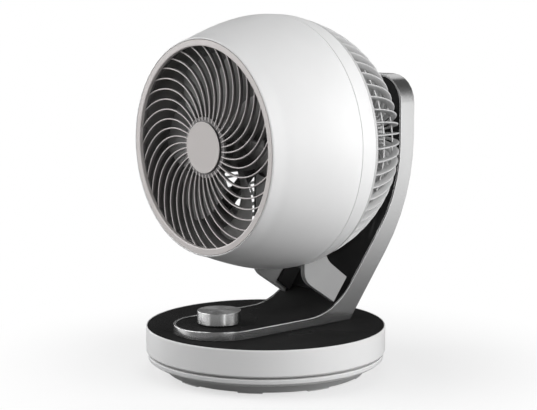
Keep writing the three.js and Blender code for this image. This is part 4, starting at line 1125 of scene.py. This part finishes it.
def floor_finish():
    """Diffuse near the object and plain white further out for camera and gloss rays. Near the
    base the cards take cos n(a - a0) over the azimuth a, with n cards, the first one at a0."""
    finish, tree = new_finish("pale_floor")
    tree.nodes.remove(tree.nodes["Principled BSDF"])
    rays = add_node(tree, "LightPath").outputs
    place = add_node(tree, "TexCoord").outputs["Object"]
    distance = add_node(tree, "VectorMath", {0: place}, operation="LENGTH").outputs["Value"]

    def step(operation, first, second=0.0):
        return add_node(tree, "Math", {0: first, 1: second}, operation=operation).outputs[0]

    def share_of_white(ray, reach, least=0.0):
        fade = {"Value": distance, "From Min": reach[0], "From Max": reach[1], "To Min": least}
        fade = add_node(tree, "MapRange", fade, interpolation_type="SMOOTHSTEP")
        return step("MULTIPLY", fade.outputs["Result"], rays[ray])

    parts = add_node(tree, "SeparateXYZ", {"Vector": place}).outputs
    turn = step("ARCTAN2", parts["X"], step("MULTIPLY", parts["Y"], -1.0))
    past = step("SUBTRACT", turn, math.radians(card_azimuth))
    wave = step("COSINE", step("MULTIPLY", past, float(card_count)))
    cards = add_node(tree, "MapRange", {"Value": wave, "From Min": 0.0, "From Max": 0.9})
    near = step("MULTIPLY", cards.outputs["Result"], share_of_white("Is Glossy Ray", near_cards))
    in_gloss = step("MAXIMUM", near, share_of_white("Is Glossy Ray", far_white))
    share = step("ADD", share_of_white("Is Camera Ray", seen_fade, seen_least), in_gloss)
    tone = add_node(tree, "Mix", {"Factor": rays["Is Camera Ray"], "A": floor_tone,
                                  "B": seen_tone}, data_type="RGBA")
    matte = add_node(tree, "BsdfDiffuse", {"Color": tone.outputs["Result"]})
    glow = add_node(tree, "Emission")
    mix = add_node(tree, "MixShader", {"Fac": share, 1: matte.outputs[0], 2: glow.outputs[0]})
    tree.links.new(mix.outputs[0], tree.nodes["Material Output"].inputs["Surface"])
    return finish


# %% Floor disc
def floor_disc(radius=6.0, sides=96):
    """Three rings of points round a centre."""
    turn = round_turn(sides)[None]
    reach = np.array([0.0, 0.5, 2.0, radius])[:, None]
    return np.stack([reach * np.cos(turn), reach * np.sin(turn), 0 * reach * turn], -1)


floor = surface(floor_disc(), False, True)
floor.name = "floor"
if floor.data.polygons[0].normal.z < 0:
    floor.data.flip_normals()
floor.data.materials.append(floor_finish())

# %% [markdown]
# ## The world
# The camera sees white all round. Gloss rays see white near the horizon, which fades to a dark
# grey room above it, and everything else is lit by a weak grey dome that only lifts the shadows.

# %% World
dome_light = 0.08
room_start, room_end = 0.02, 0.17
room_top = 0.10


def set_world():
    """Three backgrounds, chosen by the kind of ray. Up is the height of the ray's direction."""
    world = bpy.data.worlds.new("studio")
    bpy.context.scene.world = world
    world.use_nodes = True
    tree = world.node_tree
    dome = tree.nodes["Background"]
    dome.inputs["Color"].default_value = (0.97, 0.98, 1.0, 1)
    dome.inputs["Strength"].default_value = dome_light
    direction = add_node(tree, "TexCoord").outputs["Generated"]
    up = add_node(tree, "SeparateXYZ", {"Vector": direction}).outputs["Z"]
    fade = add_node(tree, "MapRange", {"Value": up, "From Min": room_start, "From Max": room_end,
                                       "To Min": 1.0, "To Max": room_top},
                    interpolation_type="SMOOTHSTEP")
    white = (1, 1, 1, 1)
    room = add_node(tree, "Background", {"Color": white, "Strength": fade.outputs["Result"]})
    backdrop = add_node(tree, "Background", {"Color": white, "Strength": 1.0})
    rays = add_node(tree, "LightPath").outputs
    gloss = add_node(tree, "MixShader", {"Fac": rays["Is Glossy Ray"], 1: dome.outputs[0],
                                         2: room.outputs[0]})
    seen = add_node(tree, "MixShader", {"Fac": rays["Is Camera Ray"], 1: gloss.outputs[0],
                                        2: backdrop.outputs[0]})
    tree.links.new(seen.outputs[0], tree.nodes["World Output"].inputs["Surface"])


set_world()

# %% [markdown]
# ## The lamps
# Large lamps stand low on both sides of the camera, since the casing is brightest where it faces
# the horizon and turns grey above and below. Each lamp stays at a level at which a colour renders
# about as it is written. The two main lamps on the right are hidden from gloss rays, because
# their mirror image would burn out the flat sides of the arm, and slim cards stand in for them.

# %% Lamps
aim = Vector((0, 0, 0.18))


def soft_box(name, azimuth, elevation, width, height, power, mirrored=True, distance=1.6):
    """A rectangular lamp on a sphere round the object, turned to its middle. Azimuth 0 is in
    front, at -Y. A lamp that isn't mirrored lights the object but doesn't show in gloss."""
    turn, tip = math.radians(azimuth), math.radians(elevation)
    direction = Vector((math.sin(turn) * math.cos(tip), -math.cos(turn) * math.cos(tip),
                        math.sin(tip)))
    light = bpy.data.lights.new(name, "AREA")
    light.shape = "RECTANGLE"
    light.size = width
    light.size_y = height
    light.energy = power
    lamp = in_scene(name, light)
    lamp.location = aim + direction * distance
    lamp.rotation_euler = direction.to_track_quat("Z", "Y").to_euler()
    lamp.visible_glossy = mirrored


soft_box("right_front", 92, 13, 0.9, 0.8, 8.0, mirrored=False)
soft_box("right_card", 76, 8, 0.25, 1.2, 2.6)
soft_box("right", 118, 13, 0.9, 0.8, 9.8, mirrored=False)
soft_box("right_glow", 118, 8, 0.9, 1.2, 4.6)
soft_box("right_high", 90, 38, 1.2, 1.0, 3.6)
soft_box("right_strip", 131, 27, 0.35, 1.0, 2.2)
soft_box("left_card", -41, 8, 0.25, 1.2, 2.4)
soft_box("left_front", -15, 11, 0.9, 1.2, 6.6)
soft_box("left_high", -42, 32, 1.2, 1.0, 13.0)
soft_box("left", -80, 8, 0.9, 0.9, 9.0)
soft_box("top", 60, 62, 0.8, 0.6, 0.8)
soft_box("back", 215, 30, 1.0, 0.8, 1.8, distance=1.8)
print("lamps:", len(bpy.data.lights))

# %% [markdown]
# ## The camera
# Its azimuth, elevation, distance and lens come from the ellipses of the base and of the front
# rim, so that the picture has the viewing angle and the framing of the photograph.

# %% Camera
camera_azimuth = math.radians(48.651)
camera_elevation = math.radians(7.9725)
camera_distance = 1.5
aim_height = 0.16673
aim_side = 0.002817
sensor_width = 36.0
focal_length = 101.04


def set_camera():
    """The camera looks at a point above the turn axis and a little to its side."""
    back = Vector((math.sin(camera_azimuth) * math.cos(camera_elevation),
                   -math.cos(camera_azimuth) * math.cos(camera_elevation),
                   math.sin(camera_elevation)))
    right = Vector((math.cos(camera_azimuth), math.sin(camera_azimuth), 0))
    up = back.cross(right)
    place = Vector((0, turn_y, aim_height)) + right * aim_side + back * camera_distance
    lens = bpy.data.cameras.new("camera")
    lens.sensor_fit = "HORIZONTAL"
    lens.sensor_width = sensor_width
    lens.lens = focal_length
    lens.clip_start = 0.01
    camera = in_scene("camera", lens)
    rows = [[right[k], up[k], back[k], place[k]] for k in range(3)] + [[0, 0, 0, 1]]
    camera.matrix_world = Matrix(rows)
    bpy.context.scene.camera = camera


set_camera()
bpy.context.scene.view_settings.view_transform = "Standard"

# %% Finish
bpy.context.view_layer.update()
